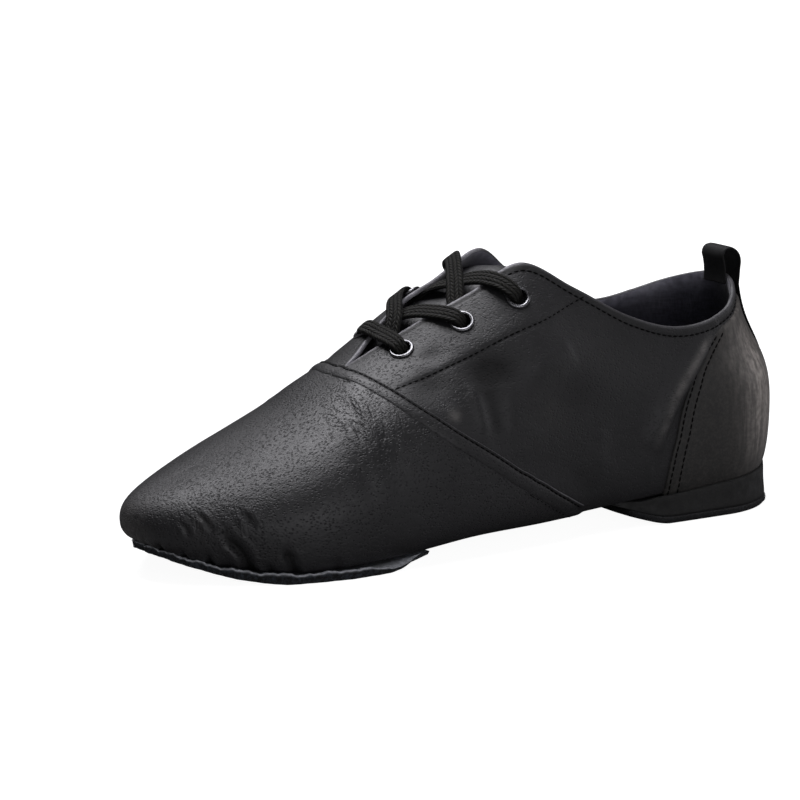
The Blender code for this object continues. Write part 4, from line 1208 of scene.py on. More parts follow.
@dataclass(frozen=True)
class NapFinish:
    """Suede or rubbed hide: short fibres, paler where it is worn."""

    name: str
    dark: Colour
    pale: Colour
    worn: Colour
    fibre_scale: float
    roughness: float
    strength: float
    relief: float
    sheen: float
    streak: float = 0.0
    streak_scale: float = 560.0
    streak_stretch: Colour = (1.0, 1.0, 0.08)
    mottle_scale: float = 60.0
    worn_least: float = 0.62
    worn_most: float = 1.12
    shade_tone: float = 0.35
    tone_rough: float = 0.12
    sheen_rough: float = 0.45

    def material(self) -> Material:
        """Nap that reads the piece's rub attribute of wear and its fold attribute of painted shade."""
        p = Paint(self.name)
        nap = p.group(nap_group(), {"Place": p.place, "Fibre Scale": self.fibre_scale}).outputs
        _, fine = p.mottle(self.mottle_scale)
        colour = p.mix(nap["Tone"], self.dark, self.pale)
        # Painted shade: darker where the fold attribute is high
        colour = p.mix(p.mark("fold"), colour, darker(self.dark, self.shade_tone))
        streaks = p.noise(p.stretch(p.place, self.streak_stretch), self.streak_scale, 3.0)
        worn = p.times(p.mark("rub"), p.span(fine, self.worn_least, self.worn_most), clamp=True)
        worn = p.times(worn, p.span(p.smooth(streaks, 0.38, 0.62), 1.0 - self.streak, 1.0))
        p.put("Base Color", p.mix(worn, colour, self.worn))
        p.put("Roughness", p.plus(self.roughness, p.times(nap["Tone"], self.tone_rough), clamp=True))
        p.put("Sheen Weight", self.sheen)
        p.put("Sheen Roughness", self.sheen_rough)
        p.put("Sheen Tint", rgba(self.worn))
        p.bump(nap["Height"], self.strength, self.relief)
        return p.material


@dataclass(frozen=True)
class YarnFinish:
    """Plaited or ribbed yarn of the lace, the ribbon and the thread."""

    name: str
    dark: Colour
    pale: Colour
    column: float
    pitch: float
    slant: float
    roughness: float
    strength: float
    relief: float
    sheen: float = 0.0
    gloss: float = 0.25
    mottle_scale: float = 160.0
    tone_least: float = 0.55
    rough_more: float = 0.15
    fibre_scale: float = 5200.0
    fibre_height: float = 0.25

    def material(self) -> Material:
        """Yarn that follows the piece's run attribute, in millimetres."""
        p = Paint(self.name)
        braid = p.group(braid_group(), {
            "Run": p.mark("run", "Vector"), "Column": self.column, "Pitch": self.pitch, "Slant": self.slant,
        }).outputs
        _, fine = p.mottle(self.mottle_scale)
        tone = p.times(braid["Shade"], p.span(fine, self.tone_least, 1.0))
        p.put("Base Color", p.mix(tone, self.dark, self.pale))
        p.put("Roughness", p.plus(self.roughness, p.times(fine, self.rough_more), clamp=True))
        p.put("Sheen Weight", self.sheen)
        p.put("Specular IOR Level", self.gloss)
        fibres = p.times(p.noise(p.place, self.fibre_scale, 2.0), self.fibre_height)
        p.bump(p.plus(braid["Height"], fibres), self.strength, self.relief)
        return p.material


@dataclass(frozen=True)
class ClothFinish:
    """Fine satin cloth of the lining and the insole."""

    name: str
    dark: Colour
    pale: Colour
    hem: Colour
    thread_scale: float
    roughness: float
    sheen: float
    mottle_scale: float = 45.0
    thread_stretch: float = 0.12
    tone_least: float = 0.4
    hem_least: float = 0.5
    rough_more: float = 0.15
    strength: float = 0.35
    relief: float = 0.15 * MM

    def material(self) -> Material:
        """Cloth with crossing threads and a soft sheen, paler where its hem attribute is high."""
        p = Paint(self.name)
        broad, fine = p.mottle(self.mottle_scale)
        thin = self.thread_stretch
        warp = p.noise(p.stretch(p.place, (1.0, 1.0, thin)), self.thread_scale, 2.0)
        weft = p.noise(p.stretch(p.place, (thin, thin, 1.0)), self.thread_scale, 2.0)
        weave = p.plus(warp, weft)
        tone = p.times(p.smooth(weave, 0.7, 1.3), p.span(broad, self.tone_least, 1.0))
        hem = p.times(p.mark("hem"), p.span(fine, self.hem_least, 1.0))
        p.put("Base Color", p.mix(hem, p.mix(tone, self.dark, self.pale), self.hem))
        p.put("Roughness", p.span(fine, self.roughness, self.roughness + self.rough_more))
        p.put("Sheen Weight", self.sheen)
        p.bump(weave, self.strength, self.relief)
        return p.material


@dataclass(frozen=True)
class MetalFinish:
    """Polished gunmetal of the eyelets, dulled by fine rubs."""

    name: str
    dark: Colour
    pale: Colour
    rough_low: float
    rough_high: float
    mottle_scale: float = 220.0
    strength: float = 0.12
    relief: float = 0.1 * MM

    def material(self) -> Material:
        """Metal with uneven polish."""
        p = Paint(self.name)
        broad, fine = p.mottle(self.mottle_scale)
        p.put("Base Color", p.mix(broad, self.dark, self.pale))
        p.put("Roughness", p.span(fine, self.rough_low, self.rough_high))
        p.put("Metallic", 1.0)
        p.bump(fine, self.strength, self.relief)
        return p.material


@dataclass(frozen=True)
class RubberFinish:
    """Matte moulded rubber of the heel block."""

    name: str
    dark: Colour
    pale: Colour
    roughness: float
    mottle_scale: float = 40.0
    dust_least: float = 0.4
    rough_more: float = 0.15
    grain_scale: float = 1400.0
    fine_height: float = 0.5
    strength: float = 0.3
    relief: float = 0.25 * MM

    def material(self) -> Material:
        """Rubber with moulded grain and a dusty mottle."""
        p = Paint(self.name)
        broad, fine = p.mottle(self.mottle_scale)
        p.put("Base Color", p.mix(p.times(broad, p.span(fine, self.dust_least, 1.0)), self.dark, self.pale))
        p.put("Roughness", p.span(fine, self.roughness, self.roughness + self.rough_more))
        height = p.plus(p.noise(p.place, self.grain_scale, 3.0), p.times(fine, self.fine_height))
        p.bump(height, self.strength, self.relief)
        return p.material


@dataclass(frozen=True)
class FloorFinish:
    """Pale studio floor that throws little light back up."""

    name: str
    seen: Colour
    thrown: Colour
    roughness: float
    glow_near: float
    glow_far: float
    near: float
    far: float
    mottle_scale: float = 4.0
    uneven: float = 0.985
    gloss: float = 0.1

    def material(self) -> Material:
        """Floor with a barely uneven tone that brightens away from the shoe like a lit backdrop."""
        p = Paint(self.name)
        broad, _ = p.mottle(self.mottle_scale)
        direct = p.node("ShaderNodeLightPath").outputs["Is Camera Ray"]
        seen = p.mix(broad, self.seen, darker(self.seen, self.uneven))
        p.put("Base Color", p.mix(direct, self.thrown, seen))
        away = p.node("ShaderNodeVectorMath", {0: p.place}, operation="LENGTH").outputs["Value"]
        glow = p.span(p.smooth(away, self.near, self.far), self.glow_near, self.glow_far)
        p.put("Emission Color", rgba(WHITE))
        p.put("Emission Strength", p.times(direct, glow))
        p.put("Roughness", self.roughness)
        p.put("Specular IOR Level", self.gloss)
        return p.material


class Finishes:
    """Every finish of the shoe, each made into one material."""

    def __init__(self) -> None:
        """Make the materials."""
        # The upper's rub colour paints real scuffs and the painted highlight along the fold ahead of the
        # counter
        self.upper = LeatherFinish(
            "upper_leather", (0.0082, 0.0081, 0.0090), (0.0145, 0.0142, 0.0155), (0.300, 0.295, 0.320),
            (0.135, 0.128, 0.122), 0.42, 0.52,
        ).material()
        self.tongue = LeatherFinish(
            "tongue_leather", (0.016, 0.016, 0.018), (0.030, 0.030, 0.032), (0.14, 0.14, 0.15),
            (0.075, 0.070, 0.068), 0.46, 0.56, pore_depth=0.06,
        ).material()
        self.counter = NapFinish(
            "counter_hide", (0.0175, 0.0168, 0.0156), (0.038, 0.0355, 0.0325), (0.440, 0.402, 0.370),
            1300.0, 0.58, 0.35, 0.30 * MM, 0.05, 0.50,
        ).material()
        self.suede = NapFinish(
            "sole_suede", (0.0020, 0.0024, 0.0032), (0.036, 0.043, 0.054), (0.60, 0.62, 0.66),
            1000.0, 0.82, 0.9, 0.6 * MM, 0.08,
        ).material()
        self.lift = NapFinish(
            "lift_suede", (0.0035, 0.0036, 0.0040), (0.017, 0.018, 0.020), (0.085, 0.085, 0.088),
            1100.0, 0.80, 0.7, 0.5 * MM, 0.10,
        ).material()
        self.fuzz = NapFinish(
            "suede_fuzz", (0.012, 0.014, 0.018), (0.120, 0.132, 0.150), (0.22, 0.23, 0.25),
            900.0, 0.85, 0.4, 0.1 * MM, 0.2,
        ).material()
        self.lace = YarnFinish(
            "lace_braid", (0.0010, 0.0010, 0.0008), (0.0190, 0.0185, 0.0150),
            1.50, 1.60, 1.0, 0.62, 1.0, 0.70 * MM,
        ).material()
        self.ribbon = YarnFinish(
            "ribbon_weave", (0.005, 0.005, 0.0053), (0.017, 0.017, 0.0175),
            0.55, 0.75, 0.5, 0.62, 0.5, 0.15 * MM,
        ).material()
        self.thread = YarnFinish(
            "sewing_thread", (0.0012, 0.0012, 0.0012), (0.0045, 0.0045, 0.0045),
            0.30, 0.45, 1.0, 0.70, 0.3, 0.1 * MM, gloss=0.10,
        ).material()
        self.lining = ClothFinish(
            "collar_lining", (0.018, 0.018, 0.027), (0.050, 0.049, 0.068), (0.240, 0.235, 0.285),
            1700.0, 0.42, 0.25,
        ).material()
        self.insole = ClothFinish(
            "insole_cloth", (0.008, 0.009, 0.016), (0.022, 0.022, 0.036), (0.022, 0.022, 0.036),
            1300.0, 0.70, 0.3,
        ).material()
        self.metal = MetalFinish(
            "eyelet_metal", (0.17, 0.17, 0.18), (0.30, 0.30, 0.31), 0.22, 0.36,
        ).material()
        self.rubber = RubberFinish(
            "heel_rubber", (0.0058, 0.0058, 0.0055), (0.0125, 0.0124, 0.0120), 0.62,
        ).material()
        self.floor = FloorFinish(
            "studio_floor", (0.30, 0.30, 0.30), (0.20, 0.20, 0.20), 0.9, 0.95, 1.1, 0.15, 0.55,
        ).material()


def shell(outer: Array, inner: Array, start: bool = True, end: bool = True) -> tuple[Array, Faces]:
    """Closed body between two grids of points.

    Args:
        outer: points by column and row, facing out.
        inner: points of the far face.
        start: close the first column with a wall.
        end: close the last column with a wall.

    Returns:
        Vertices and faces.
    """
    n, m, _ = outer.shape
    verts = np.concatenate([outer.reshape(-1, 3), inner.reshape(-1, 3)])
    far = n * m
    faces: Faces = []
    for i in range(n - 1):
        for j in range(m - 1):
            a = i * m + j
            b = a + m
            faces.append((a, b, b + 1, a + 1))
            faces.append((far + a, far + a + 1, far + b + 1, far + b))
        a = i * m
        b = a + m
        faces.append((a, far + a, far + b, b))
        a += m - 1
        b += m - 1
        faces.append((a, b, far + b, far + a))
    for j in range(m - 1):
        if start:
            faces.append((j, j + 1, far + j + 1, far + j))
        if end:
            a = (n - 1) * m + j
            faces.append((a, far + a, far + a + 1, a + 1))
    return verts, faces


def link(name: str, data: bpy.types.ID) -> Piece:
    """New object in the scene."""
    made = bpy.data.objects.new(name, data)
    bpy.context.scene.collection.objects.link(made)
    return made


def set_marks(mesh: Mesh, marks: dict[str, Array]) -> None:
    """Write numbers or vectors on a mesh's points, by attribute name."""
    for key, values in marks.items():
        plain = np.ndim(values) == 1
        layer = mesh.attributes.new(key, "FLOAT" if plain else "FLOAT_VECTOR", "POINT")
        layer.data.foreach_set("value" if plain else "vector", np.asarray(values, np.float32).ravel())


def make_piece(
    name: str, verts: Array, faces: Faces, materials: Sequence[Material],
    marks: dict[str, Array] | None = None, inner: Array | None = None,
) -> Piece:
    """Mesh object with welded seams, smooth faces and marks on its points.

    Args:
        name: name of the piece.
        verts: its points.
        faces: its faces.
        materials: its materials.
        marks: numbers or vectors for each point, by attribute name.
        inner: for each face, the number of its material.

    Returns:
        The object, facing out.
    """
    mesh = bpy.data.meshes.new(name)
    mesh.from_pydata(np.asarray(verts).tolist(), [], faces)
    set_marks(mesh, marks or {})
    for material in materials:
        mesh.materials.append(material)
    if inner is not None:
        mesh.polygons.foreach_set("material_index", np.asarray(inner, np.int32))
    bm = bmesh.new()
    bm.from_mesh(mesh)
    bmesh.ops.remove_doubles(bm, verts=bm.verts, dist=WELD)
    bmesh.ops.dissolve_degenerate(bm, edges=bm.edges, dist=NO_AREA)
    bmesh.ops.recalc_face_normals(bm, faces=bm.faces)
    if bm.calc_volume(signed=True) < 0:
        bmesh.ops.reverse_faces(bm, faces=bm.faces)
    bm.to_mesh(mesh)
    bm.free()
    mesh.shade_smooth()
    return link(name, mesh)


def bake(host: Piece) -> Piece:
    """Turn an object's modifiers into its plain mesh."""
    mesh = bpy.data.meshes.new_from_object(host.evaluated_get(bpy.context.evaluated_depsgraph_get()))
    host.modifiers.clear()
    host.data = mesh
    return host


def settle(piece: Piece, slot: str, *nodes: str) -> Piece:
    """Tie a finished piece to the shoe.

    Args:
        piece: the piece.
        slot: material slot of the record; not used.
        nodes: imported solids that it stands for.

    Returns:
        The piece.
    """
    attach(piece, BODY)
    if nodes:
        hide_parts(*nodes)
    LOG.info("%s: %d faces", piece.name, len(piece.data.polygons))
    return piece


def eyelet_sites() -> list[tuple[Spot, Side]]:
    """Spot and side of each eyelet, outer row first, from the throat's foot up."""
    return [(spot, side) for side in Side for spot in EYELET_SPOTS]


@dataclass
class Upper:
    """Leather upper with its lining: one closed wall with the eyelet holes cut through."""

    last: Last
    relief: Relief
    columns: int = 390
    lower_rows: int = 20
    upper_rows: int = 74
    inner_step: int = 5
    wall: float = 1.6 * MM
    margin: float = 10.0 * MM
    margin_drop: float = 0.7 * MM
    rim_steps: int = 5
    rim_bulge: float = 0.34
    hole: float = 3.1 * MM
    hole_depth: float = 9.0 * MM
    hole_sides: int = 40
    edge_fade: float = 0.35 * MM
    hem: float = 3.4 * MM
    collar_pale: float = 0.22
    ridge_highlight: float = 0.95
    sewn_dark: float = 0.40
    row_crowd: float = 0.18
    seam_blend: float = 1.0 * MM
    full_shade_depth: float = 1.4 * MM
    pale_blend: float = 0.01
    rim_fit: float = 0.4
    margin_steps: tuple[float, float] = (1.0, 0.25)

    def grid(self) -> tuple[Array, Array]:
        """Columns, with the facing corner and throat end on them, and rows close-set to the edge."""
        u = np.linspace(0.0, 1.0, self.columns + 1)
        for share in (self.last.facing_corner, self.last.throat_end):
            fixed = self.last.edge_column(share)
            u[np.argmin(np.abs(u - fixed))] = fixed
        t = np.linspace(0.0, 1.0, self.upper_rows + 1)[1:]
        upper = 1.0 + t + self.row_crowd * t * (1.0 - t)
        return u, np.concatenate([np.linspace(0.0, 1.0, self.lower_rows + 1), upper])

    def surface(self, side: Side, u: Array, rows: Array) -> tuple[Array, Array, dict[str, Array]]:
        """One side of the outer face.

        Args:
            side: side of the shoe.
            u: columns.
            rows: rows.

        Returns:
            Points, normals and marks by column and row, from the bottom's middle to the edge.
        """
        grid_u, grid_v = np.meshgrid(u, rows, indexing="ij")
        points = self.last.wall(grid_u, grid_v, side)
        normals = self.last.normal(grid_u, grid_v, side)
        steps = np.linalg.norm(np.diff(points, axis=1), axis=-1)
        run = np.concatenate([np.cumsum(steps[:, ::-1], axis=1)[:, ::-1], np.zeros((len(u), 1))], 1)
        lift = self.relief.lift(points, grid_u, grid_v, side, run)
        open_edge = grid_u < self.last.edge_column(self.last.throat_end)
        seam = self.relief.seam_side(points, grid_u, grid_v, side)
        # Painted highlight line on the fold ahead of the counter, added to the rub mark with the real scuffs;
        # painted shade in the valley behind it and along the stitch grooves, added to the fold mark
        light, shade = self.relief.ridge(points, grid_u, side)
        rub = self.patches(SCUFFS, points) + self.ridge_highlight * light
        sewn = self.sewn_dark * self.relief.sewn(points, grid_u, side, run) + shade
        marks = {
            "edge": np.where(open_edge, self.pale(grid_u) * bell(run, self.edge_fade), 0.0),
            "vamp": ramp(-self.seam_blend, self.seam_blend, seam),
            # fold mark is painted shade: darker where the wall sinks, fully dark at a set depth, plus the
            # stitch grooves and the ridge's valley
            "fold": np.clip(-lift / self.full_shade_depth + sewn, 0.0, 1.0),
            "rub": np.clip(rub, 0.0, 1.0),
            "flex": np.clip(self.patches(FLEXES, points), 0.0, 1.0),
            "hem": np.where(open_edge, bell(run, self.hem), 0.0),
        }
        low = self.last.feather_height(u) - self.margin_drop
        under = [self.last.ring(u, side, -self.margin * k, low) for k in self.margin_steps]
        bottom = np.stack(under, 1)
        points = np.concatenate([bottom, points + normals * lift[..., None]], 1)
        normals = np.concatenate([np.broadcast_to(DOWN, bottom.shape), normals], 1)
        flat = np.zeros(bottom.shape[:2])
        return points, normals, {k: np.concatenate([flat, m], 1) for k, m in marks.items()}

    def patches(self, table: Sequence[Scuff], points: Array) -> Array:
        """Sum of a table's soft patches.

        Args:
            table: the patches.
            points: places on the wall.

        Returns:
            Strength at each place.
        """
        total = np.zeros(points.shape[:-1])
        for patch in table:
            at = self.last.wall(patch.spot.column, patch.spot.row, patch.side)
            total += patch.strength * bell(np.linalg.norm(points - at, axis=-1), patch.reach)
        return total

    def pale(self, u: Array) -> Array:
        """Paleness of the cut rim: full along the throat, slight along the collar."""
        corner = self.last.edge_column(self.last.facing_corner)
        throat = ramp(corner - self.pale_blend, corner + self.pale_blend, u)
        return self.collar_pale + (1.0 - self.collar_pale) * throat

    def share_seams(self, first: Array, second: Array, vamp: Array) -> None:
        """Make both sides agree at the heel back, the toe tip and the crown of the vamp."""
        for spots in ((0, slice(None)), (-1, slice(None)), (vamp, -1)):
            middle = (first[spots] + second[spots]) / 2.0
            first[spots] = middle
            second[spots] = middle

    def build(self, finishes: Finishes) -> Piece:
        """Build the upper.

        Args:
            finishes: the materials.

        Returns:
            The finished piece.
        """
        u, rows = self.grid()
        faces_out = {side: self.surface(side, u, rows) for side in Side}
        vamp = np.flatnonzero(u >= self.last.edge_column(self.last.throat_end) - 1e-9)
        for k in (0, 1):
            self.share_seams(faces_out[LAT][k], faces_out[MED][k], vamp)
        keep = sorted({0, 1, *range(2, 2 + len(rows), self.inner_step), 1 + len(rows)})
        verts: list[Array] = []
        marks: dict[str, list[Array]] = {k: [] for k in ("edge", "vamp", "fold", "rub", "flex", "hem")}
        faces: Faces = []
        inner: list[int] = []
        count = 0
        mids = {}
        for side in Side:
            points, normals, notes = faces_out[side]
            normals = unit(normals)
            inside = (points - normals * self.wall)[:, keep]
            columns = np.broadcast_to(u[:, None], inside.shape[:2])
            puckers = sum(self.relief.fold(fold, inside, columns) for fold in LINING_FOLDS)
            inside = inside + normals[:, keep] * puckers[..., None]
            rim = self.rim(points, normals, u)
            blocks = [points, rim, inside[:, ::-1]]
            loop = np.concatenate(blocks, 1)
            n, m, _ = loop.shape
            for key in marks:
                rim_mark = np.zeros(rim.shape[:2]) + (self.pale(u)[:, None] if key == "edge" else 0.0)
                row_marks = np.concatenate([notes[key], rim_mark, notes[key][:, keep][:, ::-1]], 1)
                marks[key].append(row_marks.reshape(-1))
            verts.append(loop.reshape(-1, 3))
            outer_count = points.shape[1]
            for i in range(n - 1):
                closed = i >= vamp[0]
                for j in range(m - 1):
                    if closed and outer_count - 1 <= j < outer_count + rim.shape[1]:
                        continue
                    a = count + i * m + j
                    b = a + m
                    faces.append((a, a + 1, b + 1, b) if side is LAT else (a, b, b + 1, a + 1))
                    inner.append(1 if j >= outer_count + rim.shape[1] - 1 else 0)
            mids[side] = (count, m)
            count += n * m
        self.close_bottom(len(u), mids, verts, faces, inner, marks, count)
        made = make_piece(
            "upper_shell", np.concatenate(verts), faces, (finishes.upper, finishes.lining),
            {k: np.concatenate(m) for k, m in marks.items()}, np.array(inner),
        )
        self.cut_holes(made)
        return settle(made, "upper_leather", "upper")

    def rim(self, points: Array, normals: Array, u: Array) -> Array:
        """Rounded rim between the outer and inner faces along the opening.

        Args:
            points: outer face.
            normals: its normals.
            u: columns.

        Returns:
            Points of the rim by column and step.
        """
        edge = points[:, -1]
        out = normals[:, -1]
        upward = unit(points[:, -1] - points[:, -3])
        upward = unit(upward - out * np.sum(upward * out, -1, keepdims=True))
        gap = np.abs(self.last.top(u, LAT)[0][:, 1] - self.last.top(u, MED)[0][:, 1])
        bulge = np.minimum(self.rim_bulge * self.wall, self.rim_fit * gap)[:, None]
        angles = np.linspace(0.0, np.pi, self.rim_steps + 2)[1:-1]
        middle = edge - out * self.wall / 2.0
        steps = [middle + out * self.wall / 2.0 * math.cos(a) + upward * bulge * math.sin(a) for a in angles]
        return np.stack(steps, 1)

    def close_bottom(
        self, n: int, mids: dict, verts: list[Array], faces: Faces, inner: list[int],
        marks: dict[str, list[Array]], count: int,
    ) -> None:
        """Close the bottom to its middle line, outside and in.

        Args:
            n: number of columns.
            mids: start and row count of each side's points.
            verts: points so far, added to.
            faces: faces so far, added to.
            inner: material numbers so far, added to.
            marks: marks so far, added to.
            count: number of points so far.
        """
        both = np.concatenate(verts)
        for inside in (False, True):
            rings = {}
            for side, (start, m) in mids.items():
                rings[side] = start + np.arange(n) * m + (m - 1 if inside else 0)
            middle = (both[rings[LAT]] + both[rings[MED]]) / 2.0
            verts.append(middle)
            for key in marks:
                marks[key].append(np.zeros(n))
            for side in Side:
                ring = rings[side].tolist()
                for i in range(n - 1):
                    quad = (count + i, ring[i], ring[i + 1], count + i + 1)
                    forward = (side is LAT) != inside
                    faces.append(quad if forward else (quad[0], *quad[:0:-1]))
                    inner.append(1 if inside else 0)
            count += n

    def cut_holes(self, piece: Piece) -> None:
        """Cut the eyelet holes through wall and lining."""
        bm = bmesh.new()
        for spot, side in eyelet_sites():
            at = Vector(self.last.wall(spot.column, spot.row, side))
            out = Vector(self.last.normal(spot.column, spot.row, side))
            turn = out.to_track_quat("Z", "Y").to_matrix().to_4x4()
            turn.translation = at
            bmesh.ops.create_cone(
                bm, cap_ends=True, segments=self.hole_sides, radius1=self.hole, radius2=self.hole,
                depth=self.hole_depth, matrix=turn,
            )
        mesh = bpy.data.meshes.new("hole_punch")
        bm.to_mesh(mesh)
        bm.free()
        punch = link("hole_punch", mesh)
        cut = piece.modifiers.new("holes", "BOOLEAN")
        cut.operation = "DIFFERENCE"
        cut.solver = "EXACT"
        cut.object = punch
        bake(piece)
        bpy.data.objects.remove(punch, do_unlink=True)
        piece.data.shade_smooth()


@dataclass
class VampBand:
    """Doubled edge of the vamp that lies over the quarters, from arch to arch."""

    last: Last
    half: float = 3.3 * MM
    steps: int = 240
    lip: float = 0.85 * MM
    flush: float = 0.72 * MM
    roll: float = 0.42 * MM
    sunk: float = -0.35 * MM
    upper_row: float = 0.66
    lower_row: float = -0.84
    groove: float = 0.34 * MM
    groove_half: float = 0.11
    round_from: float = 0.86
    first_row: float = 0.10
    end_fade: float = 0.09
    row_from: float = 0.18
    flat_lanes: int = 25
    lip_lanes: int = 7
    lip_round: float = 0.92
    lip_pale: float = 0.5
    pale_from: float = 0.90
    pale_full: float = 0.98
    grain_share: float = 0.4
    groove_dark: float = 0.8

    def spine(self) -> tuple[Array, Array, Array]:
        """Middle of the band.

        Returns:
            Points, normals, and the direction across toward the quarters.
        """
        rows = np.linspace(self.first_row, VAMP_SEAM[-1].row, self.steps)
        columns = spline(VAMP_SEAM, "row", "column", rows)
        points = []
        normals = []
        for side in Side:
            step = slice(None) if side is LAT else slice(-2, None, -1)
            points.append(self.last.wall(columns, rows, side)[step])
            normals.append(self.last.normal(columns, rows, side)[step])
        middle = np.concatenate(points)
        normal = np.concatenate(normals)
        run = unit(np.gradient(middle, axis=0))
        across = unit(np.cross(normal, run))
        if across[self.steps // 2] @ FORWARD > 0:
            across = -across
        out = np.cross(run, across)
        return middle, unit(out * np.sign(np.sum(out * normal, -1))[:, None]), across

    def height(self, t: Array) -> Array:
        """Height of the band: a roll between its stitch rows, then a cut lip.

        Args:
            t: places across, from -1 on the vamp to 1 on the quarters.

        Returns:
            Heights over the wall.
        """
        middle = (self.upper_row + self.lower_row) / 2.0
        reach = (self.upper_row - self.lower_row) / 2.0
        roll = np.clip(1.0 - ((t - middle) / reach) ** 2, 0.0, 1.0)
        round_off = np.clip((t - self.round_from) / (1.0 - self.round_from), 0.0, 1.0)
        rise = self.flush + (self.lip - self.flush) * ramp(self.lower_row, self.upper_row, t)
        rise = (rise + self.roll * roll) * np.sqrt(1.0 - self.lip_round * round_off**2)
        rise -= self.groove * bell(t - self.upper_row, self.groove_half)
        return rise - self.groove * bell(t - self.lower_row, self.groove_half)

    def build(self, finishes: Finishes) -> Piece:
        """Build the band.

        Args:
            finishes: the materials.

        Returns:
            The finished piece.
        """
        middle, normal, across = self.spine()
        flat = np.linspace(-1.0, self.round_from, self.flat_lanes)
        t = np.concatenate([flat, np.linspace(self.round_from, 1.0, self.lip_lanes)[1:]])
        line = middle[:, None] + across[:, None] * (t * self.half)[:, None]
        top = line + normal[:, None] * (self.height(t) * self.fade(len(middle))[:, None])[..., None]
        low = line + normal[:, None] * self.sunk
        verts, faces = shell(top, low)
        shape = top.shape[:2]
        # Painted shade in the two stitch grooves, carried on the fold mark
        fold = bell(t - self.upper_row, self.groove_half) + bell(t - self.lower_row, self.groove_half)
        one = {
            "edge": np.broadcast_to(self.lip_pale * ramp(self.pale_from, self.pale_full, t), shape),
            "vamp": np.full(shape, self.grain_share),
            "fold": np.broadcast_to(self.groove_dark * fold, shape),
            "rub": np.zeros(shape),
        }
        marks = {k: np.concatenate([m.reshape(-1), np.zeros(m.size)]) for k, m in one.items()}
        piece = make_piece("vamp_edge_band", verts, faces, (finishes.upper,), marks)
        return settle(piece, "upper_leather", "vamp_band")

    def fade(self, count: int) -> Array:
        """Share of the full height along the band, falling to none at both ends."""
        share = np.linspace(0.0, 1.0, count)
        return ramp(0.0, self.end_fade, np.minimum(share, 1.0 - share))

    def row(self, t: float, lift: float) -> tuple[Array, Array]:
        """Stitch row along the band.

        Args:
            t: its place across.
            lift: height over the band.

        Returns:
            Points and normals.
        """
        middle, normal, across = self.spine()
        fade = self.fade(len(middle))
        rise = self.height(np.array(t)) * fade[:, None] + lift
        kept = fade > self.row_from
        return (middle + across * t * self.half + normal * rise)[kept], normal[kept]


